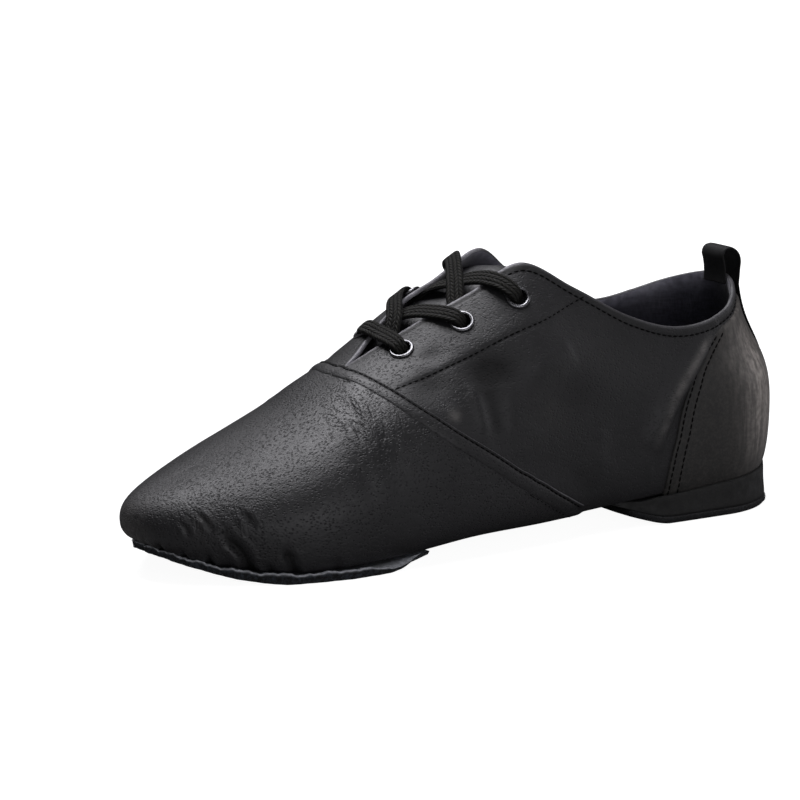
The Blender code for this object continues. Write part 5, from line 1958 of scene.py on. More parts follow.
@dataclass
class Counter:
    """Heel counter of rubbed hide that wraps the back."""

    last: Last
    relief: Relief
    columns: int = 90
    rows: int = 90
    top: float = 1.05 * MM
    sunk: float = -0.4 * MM
    edge_round: float = 0.9 * MM
    first_row: float = 1.1 * MM
    second_row: float = 3.9 * MM
    groove: float = 0.30 * MM
    groove_half: float = 0.6 * MM
    worn_column: float = 0.150
    worn_reach: float = 0.048
    margin_shade: float = 0.75
    margin_width: float = 2.2 * MM
    worn_row: float = 1.15
    worn_rise: float = 0.75
    inner_wear: float = 0.5
    crowd: float = 1.5
    shade_low: float = 0.9
    shade_high: float = 1.4
    width_steps: int = 40
    row_end: float = 0.06

    def reach(self, v: Array) -> Array:
        """Column of the front seam at each row."""
        return spline(COUNTER_SEAM, "row", "column", v)

    def width(self, v: Array) -> Array:
        """Length of the counter from the back to its front seam.

        Args:
            v: rows.

        Returns:
            Length at each row.
        """
        columns = np.linspace(0.0, 1.0, self.width_steps)[:, None] * self.reach(v)
        line = self.last.wall(columns, np.broadcast_to(v, columns.shape), LAT)
        return np.linalg.norm(np.diff(line, axis=0), axis=-1).sum(0)

    def build(self, finishes: Finishes) -> Piece:
        """Build the counter.

        Args:
            finishes: the materials.

        Returns:
            The finished piece.
        """
        v = np.linspace(COUNTER_SEAM[0].row, COUNTER_SEAM[-1].row, self.rows + 1)
        share = 1.0 - (1.0 - np.linspace(0.0, 1.0, self.columns + 1)) ** self.crowd
        reach = self.reach(v)
        width = self.width(v)
        grid_u = share[:, None] * reach
        grid_v = np.broadcast_to(v, grid_u.shape)
        gap = (1.0 - share)[:, None] * width
        down = (COUNTER_SEAM[-1].row - grid_v) * self.last.back_height / 2.0
        near = np.minimum(gap, np.maximum(down, 0.0))
        lift = self.top * np.sqrt(1.0 - np.clip(1.0 - near / self.edge_round, 0.0, 1.0) ** 2)
        grooves = bell(gap - self.first_row, self.groove_half) + bell(gap - self.second_row, self.groove_half)
        lift = lift - self.groove * grooves
        worn = bell(grid_u - self.worn_column, self.worn_reach) * bell(grid_v - self.worn_row, self.worn_rise)
        # Painted shadow of the quarter's edge along the counter's front margin, high up, carried on the fold
        # mark
        shade = self.margin_shade * bell(gap, self.margin_width)
        shade = shade * ramp(self.shade_low, self.shade_high, grid_v)
        outer = []
        inner = []
        rub = []
        fold = []
        for side in Side:
            sag = self.relief.sag(self.last.wall(grid_u, grid_v, side))
            face = self.last.skin(grid_u, grid_v, side, lift + sag)
            back = self.last.skin(grid_u, grid_v, side, self.sunk + sag)
            order = slice(None, None, -1) if side is LAT else slice(1, None)
            outer.append(face[order])
            inner.append(back[order])
            rub.append(worn[order] * (1.0 if side is LAT else self.inner_wear))
            fold.append(shade[order])
        verts, faces = shell(np.concatenate(outer), np.concatenate(inner))
        # fold mark: the painted shadow along the front margin
        marks = {k: np.concatenate(m).reshape(-1) for k, m in (("rub", rub), ("fold", fold))}
        piece = make_piece(
            "heel_counter_hide", verts, faces, (finishes.counter,),
            {k: np.concatenate([m, np.zeros_like(m)]) for k, m in marks.items()},
        )
        return settle(piece, "counter_leather", "heel_counter")

    def row(self, side: Side, back: float, lift: float, count: int = 90) -> tuple[Array, Array]:
        """Stitch row behind the front seam.

        Args:
            side: side of the shoe.
            back: distance behind the seam.
            lift: height over the counter.
            count: points of the row.

        Returns:
            Points and normals.
        """
        v = np.linspace(self.row_end, COUNTER_SEAM[-1].row - self.row_end, count)
        u = self.reach(v) * (1.0 - back / self.width(v))
        return self.last.skin(u, v, side, np.full_like(u, self.top + lift)), self.last.normal(u, v, side)


@dataclass
class Tongue:
    """Tongue under the throat, gently crowned."""

    last: Last
    top: float = 0.455
    end: float = 0.720
    first_row: float = 1.66
    last_row: float = 1.93
    columns: int = 90
    rows: int = 22
    depth: float = 3.3 * MM
    thick: float = 1.4 * MM
    spokes: int = 8
    grain_share: float = 0.5

    def sheet(self, down: float) -> Array:
        """Face of the tongue, rim to rim.

        Args:
            down: depth under the facings' outer face.

        Returns:
            Points by column and place across.
        """
        u = np.linspace(self.top, self.end, self.columns + 1)
        lat = self.side(u, LAT, down)
        med = self.side(u, MED, down)
        crown = (self.last.top(u, LAT)[0] + self.last.top(u, MED)[0]) / 2.0
        crown[:, 2] -= down
        spokes = np.linspace(0.0, 1.0, self.spokes)[1:-1]
        rows = list(np.moveaxis(lat, 1, 0))
        bridge_a = [lat[:, -1] * (1 - s) + crown * s for s in spokes]
        bridge_b = [crown * (1 - s) + med[:, -1] * s for s in spokes]
        return np.stack(rows + bridge_a + [crown] + bridge_b + list(np.moveaxis(med[:, ::-1], 1, 0)), 1)

    def side(self, u: Array, side: Side, down: float) -> Array:
        """Part of the tongue under one facing.

        Args:
            u: columns.
            side: side of the shoe.
            down: depth under the facing's outer face.

        Returns:
            Points by column and row.
        """
        v = np.linspace(self.first_row, self.last_row, self.rows)
        grid_u, grid_v = np.meshgrid(u, v, indexing="ij")
        return self.last.skin(grid_u, grid_v, side, np.full(grid_u.shape, -down))

    def build(self, finishes: Finishes) -> Piece:
        """Build the tongue.

        Args:
            finishes: the materials.

        Returns:
            The finished piece.
        """
        verts, faces = shell(self.sheet(self.depth), self.sheet(self.depth + self.thick))
        blank = np.zeros(len(verts))
        marks = {"edge": blank, "vamp": blank + self.grain_share, "fold": blank, "rub": blank}
        piece = make_piece("tongue_sheet", verts, faces, (finishes.tongue,), marks)
        return settle(piece, "tongue_leather", "tongue")


Ring = tuple[Array | float, Array]      # move outward and heights
Rings = Callable[[Side], list[Ring]]
INSOLE_STEPS = (0.0, 0.15, 0.4, 0.8, 1.3)
INSOLE_DISH = (0.55, 0.9, 1.0, 1.0, 1.0)
WAVES = ((0.5, 1.9, 0.6), (0.32, 4.3, 1.9), (0.18, 9.7, 0.3))


@dataclass
class Underfoot:
    """Insole, forefoot sole, heel block and heel lift."""

    last: Last
    wall: float = 1.6 * MM
    gap: float = 0.35 * MM
    seat_gap: float = 0.5 * MM
    margin: float = 10.0 * MM
    margin_drop: float = 0.7 * MM
    under_in: float = 0.6 * MM
    under_rub: float = 0.12
    nap_ring: int = 2
    wave_shift: float = 40.0
    wave_still: float = 0.04
    insole: float = 2.0 * MM
    insole_in: float = 2.0 * MM
    insole_clear: float = 0.1 * MM
    insole_columns: int = 160
    sole_start: float = 0.628
    sole_out: float = 2.3 * MM
    sole_flare: float = 0.45 * MM
    sole_tip: float = 1.9 * MM
    sole_tip_from: float = 0.90
    pale_from: float = 0.80
    sole_columns: int = 240
    sole_rows: int = 8
    sole_least: float = 0.8 * MM
    sole_foot: float = 0.1 * MM
    sole_lip_in: float = 1.1 * MM
    sole_lip_up: float = 0.05 * MM
    sole_under_in: float = 0.5 * MM
    sole_wave: float = 0.40 * MM
    sole_wave_long: float = 2.2
    sole_ripple: float = 0.55 * MM
    sole_ripple_long: float = 1.5
    sole_proud: float = 1.5 * MM
    sole_thin: float = 0.6 * MM
    sole_back: float = -4.0 * MM
    sole_spread: float = 0.70
    sole_full: float = 0.80
    heel_end: float = 0.302
    heel_flat: float = 0.225
    heel_tuck: float = 7.0 * MM
    heel_tuck_from: float = 0.245
    heel_tuck_full: float = 2.0 * MM
    heel_top_out: float = 1.9 * MM
    heel_foot_out: float = 2.5 * MM
    heel_waist: float = 0.45 * MM
    heel_top_round: float = 0.5 * MM
    heel_foot_round: float = 0.4 * MM
    heel_rim_in: float = 0.6 * MM
    heel_rim_drop: float = 0.1 * MM
    heel_edge: float = 0.5 * MM
    heel_lip: float = 4.2 * MM
    heel_lip_reach: float = 0.065
    ramp_power: float = 1.5
    heel_columns: int = 120
    heel_rows: int = 11
    lift: float = 2.0 * MM
    lift_out: float = 2.45 * MM
    lift_end: float = 0.278
    lift_near: float = 0.2
    lift_round: float = 0.3 * MM
    lift_rows: int = 5
    lift_rub: float = 0.35
    lift_wave: float = 0.2 * MM
    lift_wave_long: float = 1.6

    def seat(self, u: Array) -> Array:
        """Height of the soles' upper face under the upper."""
        return self.last.feather_height(u) - self.margin_drop - self.seat_gap

    def heel_floor(self, u: Array) -> Array:
        """Height of the heel block's underside."""
        share = np.clip((self.last.ease(u) - self.heel_flat) / (self.heel_end - self.heel_flat), 0.0, 1.0)
        base = self.lift + self.gap
        return base + (self.seat(u) - self.heel_edge - base) * share**self.ramp_power

    def tuck(self, u: Array) -> Array:
        """Distance that the heel's front is drawn in under the arch."""
        return self.heel_tuck * ramp(self.heel_tuck_from, self.heel_end, self.last.ease(u))

    def slab(self, u: Array, top: Rings, under: Rings, start: bool, end: bool) -> tuple[Array, Faces, Array]:
        """Plate between rings that run in from both sides.

        Args:
            u: columns.
            top: side wall and upper face of one side, from the rim's foot inward.
            under: underside of one side, from the rim inward.
            start: close the first column with a wall.
            end: close the last column with a wall.

        Returns:
            Vertices, faces, and for each vertex of the top its ring number from the rim's foot, -1 below.
        """
        grids = []
        for maker in (top, under):
            lat, med = ([self.last.ring(u, side, *ring) for ring in maker(side)] for side in (LAT, MED))
            grids.append(np.stack([*lat, (lat[-1] + med[-1]) / 2.0, *med[::-1]], 1))
        upper, low = grids
        half = upper.shape[1] // 2
        order = np.broadcast_to(half - np.abs(np.arange(-half, half + 1)), upper.shape[:2])
        pad = half - low.shape[1] // 2
        low = np.concatenate([np.repeat(low[:, :1], pad, 1), low, np.repeat(low[:, -1:], pad, 1)], 1)
        verts, faces = shell(upper, low, start, end)
        return verts, faces, np.concatenate([order.reshape(-1), np.full(order.size, -1)])

    def inward(self, shares: Sequence[float], height: Array, drawn: Array | float = 0.0) -> list[Ring]:
        """Rings inside the upper's lower edge, at shares of the lasting margin."""
        return [(-self.margin * k - drawn, height) for k in shares]

    def wave(self, u: Array, side: Side, scale: float) -> Array:
        """Uneven hand-cut line along an edge, still at the toe.

        Args:
            u: columns.
            side: side of the shoe.
            scale: length of the waves.

        Returns:
            Heights of about -1 to 1.
        """
        s = u * 100.0 / scale + (0.0 if side is LAT else self.wave_shift)
        fade = np.sin(np.pi * np.clip((1.0 - u) / self.wave_still, 0.0, 0.5))
        return fade * sum(high * np.sin(s * often + phase) for high, often, phase in WAVES)

    def build_insole(self, finishes: Finishes) -> Piece:
        """Insole inside the shoe, dished to its rim.

        Args:
            finishes: the materials.

        Returns:
            The finished piece.
        """
        u = np.linspace(0.0, 1.0, self.insole_columns + 1)
        low = self.last.feather_height(u) - self.margin_drop + self.wall + self.insole_clear

        def top(_: Side) -> list[Ring]:
            """Upper face, dished to its rim."""
            steps = zip(INSOLE_STEPS, INSOLE_DISH)
            return [(-self.insole_in - self.margin * k, low + self.insole * rise) for k, rise in steps]

        def under(_: Side) -> list[Ring]:
            """Flat underside."""
            return self.inward(INSOLE_STEPS, low, self.insole_in)

        verts, faces, _ = self.slab(u, top, under, False, False)
        piece = make_piece("insole_sock", verts, faces, (finishes.insole,))
        return settle(piece, "insole_cloth", "insole")

    def build_sole(self, finishes: Finishes) -> Piece:
        """Forefoot sole of suede with an uneven cut edge and a paler lip.

        Args:
            finishes: the materials.

        Returns:
            The finished piece.
        """
        u = np.linspace(self.last.column_at(self.sole_start), 1.0, self.sole_columns + 1)
        share = self.last.ease(u)
        seat = self.seat(u)
        floor = np.minimum(spline(SOLE_LINES, "share", "under", share), seat - self.sole_least)
        floor = np.maximum(floor, 0.0)
        thick = spline(SOLE_LINES, "share", "thick", share)
        full = ramp(self.sole_start, self.sole_full, share)
        spread = ramp(self.sole_start, self.sole_spread, share)
        rim = floor + self.sole_thin + (thick + self.sole_proud - self.sole_thin) * full
        rim = np.minimum(self.last.feather_height(u) - self.gap, rim)
        rows = np.linspace(0.0, 1.0, self.sole_rows)

        def reach(side: Side) -> Array:
            """Distance of the cut edge outside the upper's lower edge."""
            drawn = self.sole_tip * ramp(self.sole_tip_from, 1.0, share)
            out = self.sole_back + (self.sole_out - self.sole_back) * spread - drawn
            return out + self.sole_wave * spread * self.wave(u, side, self.sole_wave_long)

        def top(side: Side) -> list[Ring]:
            """Side wall, lip and seat."""
            out = reach(side)
            crest = rim + self.sole_ripple * full * self.wave(u, side, self.sole_ripple_long)
            low = floor + self.sole_foot
            side_wall = [(out + self.sole_flare * (t**2 - 0.5), low + (crest - low) * t) for t in rows]
            lip = (out - self.sole_lip_in, crest + self.sole_lip_up)
            return [*side_wall, lip, *self.inward((0.1, 0.5, 1.4), seat)]

        def under(side: Side) -> list[Ring]:
            """Underside."""
            return [(reach(side) - self.sole_under_in, floor), *self.inward((0.2, 0.6, 1.0, 1.4), floor)]

        verts, faces, order = self.slab(u, top, under, True, False)
        pale = np.where(order <= len(rows), ramp(self.pale_from, 1.0, order / (len(rows) - 1.0)), 0.0)
        rub = np.where(order < 0, self.under_rub, pale)
        nap = np.where((order >= self.nap_ring) & (order <= len(rows)), 1.0, 0.0)
        piece = make_piece("forefoot_sole_suede", verts, faces, (finishes.suede,), {"rub": rub, "nap": nap})
        return settle(piece, "sole_suede", "sole_forefoot")

    def build_heel(self, finishes: Finishes) -> Piece:
        """Rubber heel block with a waisted wall and a lip at the back.

        Args:
            finishes: the materials.

        Returns:
            The finished piece.
        """
        u = np.linspace(0.0, self.last.column_at(self.heel_end), self.heel_columns + 1)
        floor = self.heel_floor(u)
        tuck = self.tuck(u)
        seat = self.seat(u)
        rim = self.last.feather_height(u) - self.gap + self.heel_lip * bell(u, self.heel_lip_reach)
        drawn = np.clip(tuck / self.heel_tuck_full, 0.0, 1.0)
        rim = rim + (np.minimum(rim, seat) - rim) * drawn

        def top(_: Side) -> list[Ring]:
            """Waisted side wall with rounded corners, and the seat."""
            rings = []
            for t in np.linspace(0.0, 1.0, self.heel_rows):
                out = self.heel_foot_out + (self.heel_top_out - self.heel_foot_out) * t
                out = out - self.heel_waist * math.sin(math.pi * t)
                out = out - self.heel_top_round * t**8 - self.heel_foot_round * (1 - t) ** 8
                rings.append((out - tuck, floor + (rim - floor) * t))
            inner = (self.heel_rim_in - tuck, rim - self.heel_rim_drop)
            return [*rings, inner, *self.inward((0.1, 0.5, 1.2), seat, tuck)]

        def under(_: Side) -> list[Ring]:
            """Underside."""
            rim_ring = (self.heel_foot_out - self.under_in - tuck, floor)
            return [rim_ring, *self.inward((0.1, 0.6, 1.2), floor, tuck)]

        verts, faces, _ = self.slab(u, top, under, False, True)
        piece = make_piece("heel_block_rubber", verts, faces, (finishes.rubber,))
        return settle(piece, "heel_rubber", "heel_block")

    def build_lift(self, finishes: Finishes) -> Piece:
        """Thin suede lift under the heel block.

        Args:
            finishes: the materials.

        Returns:
            The finished piece.
        """
        u = np.linspace(0.0, self.last.column_at(self.lift_end), self.heel_columns + 1)
        tuck = self.tuck(u)
        roof = self.heel_floor(u) - self.gap * self.lift_near
        floor = self.heel_floor(u) - self.gap - self.lift
        foot = floor + self.lift_round
        last_row = self.lift_rows - 1

        def top(side: Side) -> list[Ring]:
            """Rounded cut edge and upper face."""
            out = self.lift_out - tuck + self.lift_wave * self.wave(u, side, self.lift_wave_long)
            rows = np.linspace(0.0, 1.0, self.lift_rows)
            cut = [(out - self.lift_round * (2 * t - 1) ** 4, foot + (roof - foot) * t) for t in rows]
            return cut + self.inward((0.0, 0.6), roof, tuck)

        def under(_: Side) -> list[Ring]:
            """Underside."""
            return [(self.lift_out - self.under_in - tuck, floor), *self.inward((0.0, 0.6), floor, tuck)]

        verts, faces, order = self.slab(u, top, under, False, True)
        rub = np.where(order == last_row, self.lift_rub, 0.0)
        nap = np.where((order >= self.nap_ring) & (order <= last_row), 1.0, 0.0)
        piece = make_piece("heel_lift_suede", verts, faces, (finishes.lift,), {"rub": rub, "nap": nap})
        return settle(piece, "sole_suede", "heel_lift")


@dataclass
class Ribbon:
    """Ribbon up the back seam with its pull loop."""

    last: Last
    half: float = 6.2 * MM
    thick: float = 0.9 * MM
    lift: float = 1.5 * MM
    foot_row: float = 0.55
    head_row: float = 1.95
    back_rows: int = 60
    loop_rows: int = 90
    across: int = 17
    bow_radius: float = 15.0 * MM
    scan_end: float = 0.2
    scan_steps: int = 201
    edge_thin: float = 0.35

    def back(self, lift: float, share: Array) -> Array:
        """Ribbon on the back of the counter.

        Args:
            lift: height over the wall.
            share: places across, -1 to 1.

        Returns:
            Points by row and place across.
        """
        rows = np.linspace(self.foot_row, self.head_row, self.back_rows)
        scan = np.linspace(0.0, self.scan_end, self.scan_steps)
        grid = np.zeros((len(rows), len(share), 3))
        for k, s in enumerate(share):
            side = LAT if s >= 0 else MED
            for i, v in enumerate(rows):
                line = self.last.wall(scan, np.full_like(scan, v), side)
                u = np.interp(abs(s) * self.half, np.abs(line[:, 1] - line[0, 1]), scan)
                grid[i, k] = self.last.skin(u, v, side, lift)
        return grid

    def loop(self, lift: float, share: Array) -> Array:
        """Pull loop over the collar's back edge.

        Args:
            lift: height over the loop's middle.
            share: places across, -1 to 1.

        Returns:
            Points by row and place across.
        """
        at = np.linspace(LOOP_POINTS[0].key, LOOP_POINTS[-1].key, self.loop_rows)
        forward = spline(LOOP_POINTS, "key", "forward", at)
        rise = spline(LOOP_POINTS, "key", "up", at)
        bow = spline(LOOP_POINTS, "key", "bow", at)
        middle = np.stack([forward, np.zeros_like(at), rise], -1)
        run = np.gradient(middle, axis=0)
        out = unit(np.stack([-run[:, 2], np.zeros_like(at), run[:, 0]], -1))
        edge = self.last.top(np.array([0.0]), LAT)[0][0]
        grid = np.repeat((edge + middle + out * lift)[:, None], len(share), 1)
        reach = share * self.half
        grid[:, :, 1] += reach
        grid[:, :, 0] += bow[:, None] * reach**2 / (2.0 * self.bow_radius)
        return grid

    def build(self, finishes: Finishes) -> Piece:
        """Build the ribbon and loop.

        Args:
            finishes: the materials.

        Returns:
            The finished piece.
        """
        share = np.linspace(-1.0, 1.0, self.across)
        round_off = np.sqrt(1.0 - np.abs(share) ** 6)
        thin = self.thick * (self.edge_thin + (1.0 - self.edge_thin) * round_off)
        outer = np.concatenate([self.back(self.lift + self.thick, share), self.loop(self.thick, share)])
        inner = np.concatenate([self.back(self.lift, share), self.loop(0.0, share)])
        middle = (outer + inner) / 2.0
        out = unit(outer - inner)
        outer = middle + out * thin[None, :, None] / 2.0
        inner = middle - out * thin[None, :, None] / 2.0
        length = lengths(middle[:, self.across // 2])
        run = np.zeros(middle.shape)
        run[..., 0] = share * self.half / MM
        run[..., 1] = (length / MM)[:, None]
        verts, faces = shell(outer, inner)
        marks = {"run": np.concatenate([run.reshape(-1, 3)] * 2)}
        piece = make_piece("back_ribbon_loop", verts, faces, (finishes.ribbon,), marks)
        return settle(piece, "ribbon_weave", "pull_ribbon")


class Crossing(NamedTuple):
    """Places of one strand, as shares of the way from its lower eyelet to its upper one."""

    number: int
    goal: Side
    hem: float          # where it comes from under the near edge
    middle: float       # where it crosses the throat
    edge: float         # where it goes over the far edge


CROSSINGS = (
    Crossing(1, LAT, 0.06, 0.36, 0.66),
    Crossing(1, MED, -0.11, 0.20, 0.52),
    Crossing(2, LAT, 0.06, 0.36, 0.66),
    Crossing(2, MED, 0.00, 0.37, 0.74),
)


class LacePoint(NamedTuple):
    """Place, facing and width of the lace along its way."""

    place: Array
    facing: Array
    width: float
    thick: float


class BoreStep(NamedTuple):
    """Place of the lace on its way over an eyelet's rim and down its bore."""

    come: float         # toward where the lace comes from
    rise: float         # out of the wall
    face_out: float     # share of the wall's normal in its facing
    face_come: float    # share of the way it comes in its facing
    width: float
    thick: float


BORE_STEPS = (
    BoreStep(6.4 * MM, 1.40 * MM, 1.0, 0.0, 6.2 * MM, 1.6 * MM),
    BoreStep(3.6 * MM, 1.75 * MM, 1.0, 0.0, 5.9 * MM, 1.6 * MM),
    BoreStep(1.5 * MM, 1.35 * MM, 1.0, -0.6, 5.3 * MM, 1.9 * MM),
    BoreStep(0.2 * MM, -0.5 * MM, 0.45, -1.0, 4.8 * MM, 2.2 * MM),
    BoreStep(-0.2 * MM, -2.2 * MM, 0.0, -1.0, 4.8 * MM, 2.2 * MM),
    BoreStep(-0.2 * MM, -4.5 * MM, 0.0, -1.0, 4.8 * MM, 2.2 * MM),
)


@dataclass
class Lace:
    """Flat braided lace: a bar over the first eyelets and two crossings above it."""

    last: Last
    width: float = 6.2 * MM
    thick: float = 1.6 * MM
    steps: int = 110
    lanes: int = 25
    over_edge: float = 1.15 * MM
    under_wall: float = 2.3 * MM
    top_strand: float = 1.7 * MM
    bar_rise: float = 2.3 * MM
    start_deeper: float = 1.0 * MM
    start_width: float = 5.0 * MM
    hem_row: float = 1.985
    middle_row: float = 1.99
    middle_rise: float = 0.5 * MM
    rim_thick: float = 0.02

    def eyelet(self, spot: Spot, side: Side) -> tuple[Array, Array]:
        """Middle of an eyelet and its facing."""
        return self.last.wall(spot.column, spot.row, side), self.last.normal(spot.column, spot.row, side)

    def into(self, spot: Spot, side: Side, come: Array) -> list[LacePoint]:
        """Way of the lace over an eyelet's rim and down its bore.

        Args:
            spot: the eyelet.
            side: its side.
            come: direction that the lace comes from.

        Returns:
            Points from outside to inside.
        """
        at, out = self.eyelet(spot, side)
        come = unit(come - out * (come @ out))
        return [
            LacePoint(
                at + come * step.come + out * step.rise, unit(out * step.face_out + come * step.face_come),
                step.width, step.thick,
            )
            for step in BORE_STEPS
        ]

    def bar(self) -> list[LacePoint]:
        """Way of the bar across the first eyelets."""
        spot = EYELET_SPOTS[0]
        ends = {side: self.eyelet(spot, side) for side in Side}
        across = unit(ends[MED][0] - ends[LAT][0])
        first = self.into(spot, LAT, across)[::-1]
        second = self.into(spot, MED, -across)
        middle = (ends[LAT][0] + ends[MED][0]) / 2.0
        out = unit(ends[LAT][1] + ends[MED][1])
        crest = max((end[0] - middle) @ out for end in ends.values())
        top = LacePoint(middle + out * (crest + self.bar_rise), out, self.width, self.thick)
        return [*first, top, *second]

    def crossing(self, strand: Crossing) -> list[LacePoint]:
        """Way of one strand from under a facing to the opposite eyelet above.

        Args:
            strand: its places.

        Returns:
            Points from inside to inside.
        """
        goal = strand.goal
        away = MED if goal is LAT else LAT
        below = EYELET_SPOTS[strand.number - 1]
        spot = EYELET_SPOTS[strand.number]
        rise = spot.column - below.column
        start, start_out = self.eyelet(below, away)
        deep = self.under_wall + self.start_deeper
        hem_u = below.column + strand.hem * rise
        hem = self.last.wall(hem_u, self.hem_row, away)
        hem_out = self.last.normal(hem_u, self.hem_row, away)
        mid_u = below.column + strand.middle * rise
        mid_lat = self.last.wall(mid_u, 2.0, LAT)
        mid_med = self.last.wall(mid_u, 2.0, MED)
        middle = (mid_lat + mid_med) / 2.0
        up = unit(sum(self.last.normal(mid_u, self.middle_row, side) for side in Side))
        over = self.top_strand if goal is MED else 0.0
        edge_u = below.column + strand.edge * rise
        edge = self.last.wall(edge_u, self.hem_row, goal)
        edge_out = self.last.normal(edge_u, self.hem_row, goal)
        target = self.eyelet(spot, goal)[0]
        way = [
            LacePoint(start - start_out * deep, start_out, self.start_width, self.thick),
            LacePoint(hem - hem_out * self.under_wall, hem_out, self.width, self.thick),
            LacePoint(middle + up * (self.middle_rise + over), up, self.width, self.thick),
            LacePoint(edge + edge_out * (self.over_edge + 0.5 * over), edge_out, self.width, self.thick),
        ]
        return way + self.into(spot, goal, unit(edge - target))

    def strand(self, way: list[LacePoint]) -> tuple[Array, Faces, Array]:
        """Closed flat braid along a way.

        Args:
            way: its points.

        Returns:
            Vertices, faces and run marks.
        """
        path = through([p.place for p in way], self.steps)
        key = lengths(np.array([p.place for p in way]))
        at = np.linspace(0.0, key[-1], self.steps)
        facing = np.stack([np.interp(at, key, [p.facing[k] for p in way]) for k in range(3)], -1)
        width = np.interp(at, key, [p.width for p in way])
        thick = np.interp(at, key, [p.thick for p in way])
        run = unit(np.gradient(path, axis=0))
        wide = unit(np.cross(facing, run))
        out = unit(np.cross(run, wide))
        t = np.sin(np.linspace(-np.pi / 2, np.pi / 2, self.lanes))
        crown = np.sqrt(np.maximum(1.0 - np.abs(t) ** 4, 0.0)) * 0.5 + self.rim_thick
        rows = path[:, None] + wide[:, None] * (t[None] * width[:, None] / 2.0)[..., None]
        rise = out[:, None] * (crown[None] * thick[:, None])[..., None]
        length = lengths(path)
        marks = np.zeros(rows.shape)
        marks[..., 0] = t * self.width / 2.0 / MM
        marks[..., 1] = (length / MM)[:, None]
        verts, faces = shell(rows + rise, rows - rise)
        return verts, faces, np.concatenate([marks.reshape(-1, 3)] * 2)

    def build(self, finishes: Finishes) -> Piece:
        """Build the lace as one piece.

        Args:
            finishes: the materials.

        Returns:
            The finished piece.
        """
        ways = [self.bar()] + [self.crossing(strand) for strand in CROSSINGS]
        verts: list[Array] = []
        faces: Faces = []
        marks: list[Array] = []
        count = 0
        for way in ways:
            points, quads, run = self.strand(way)
            verts.append(points)
            marks.append(run)
            faces += [tuple(k + count for k in quad) for quad in quads]
            count += len(points)
        runs = {"run": np.concatenate(marks)}
        piece = make_piece("flat_lace", np.concatenate(verts), faces, (finishes.lace,), runs)
        return settle(piece, "lace_braid", "lace_bar", "lace_cross_1", "lace_cross_2")


class GrowthTree(Graph):
    """Geometry tree with named inputs that is run on a mesh."""

    def __init__(self, name: str, inputs: dict[str, str]) -> None:
        """Start the tree.

        Args:
            name: name of the tree.
            inputs: kind of each named input besides the geometry and the material.
        """
        super().__init__(bpy.data.node_groups.new(name, "GeometryNodeTree"))
        sockets = self.tree.interface
        sockets.new_socket("Geometry", in_out="INPUT", socket_type="NodeSocketGeometry")
        self.names = {}
        for key, kind in {**inputs, "Material": "Material"}.items():
            made = sockets.new_socket(key, in_out="INPUT", socket_type="NodeSocket" + kind)
            self.names[key] = made.identifier
        sockets.new_socket("Geometry", in_out="OUTPUT", socket_type="NodeSocketGeometry")
        self.given = self.node("NodeGroupInput").outputs
        self.ends = self.node("NodeGroupOutput").inputs

    def mark(self, name: str, kind: str = "FLOAT_VECTOR") -> Socket:
        """Named attribute of the geometry."""
        return self.first("GeometryNodeInputNamedAttribute", {"Name": name}, data_type=kind)

    def turn(self, primary: Socket, secondary: Socket) -> Socket:
        """Rotation with X along the first direction and Z near the second."""
        inputs = {0: primary, 1: secondary}
        return self.first("FunctionNodeAxesToRotation", inputs, primary_axis="X", secondary_axis="Z")

    def scatter(self, inputs: dict[str, Socket]) -> None:
        """Set a shape on points, and end the tree in realized, smooth, painted geometry."""
        placed = self.first("GeometryNodeInstanceOnPoints", inputs)
        real = self.first("GeometryNodeRealizeInstances", {0: placed})
        soft = self.first("GeometryNodeSetShadeSmooth", {0: real})
        paint = {"Geometry": soft, "Material": self.given["Material"]}
        self.feed(self.ends[0], self.first("GeometryNodeSetMaterial", paint))

    def grow(self, name: str, mesh: Mesh, values: dict[str, object]) -> Piece:
        """Run the tree and keep the result as a plain mesh.

        Args:
            name: name of the piece.
            mesh: path, points or faces to grow on.
            values: value of each input.

        Returns:
            The new piece.
        """
        made = link(name, mesh)
        modifier = made.modifiers.new(name, "NODES")
        modifier.node_group = self.tree
        for key, value in values.items():
            modifier[self.names[key]] = value
        return bake(made)


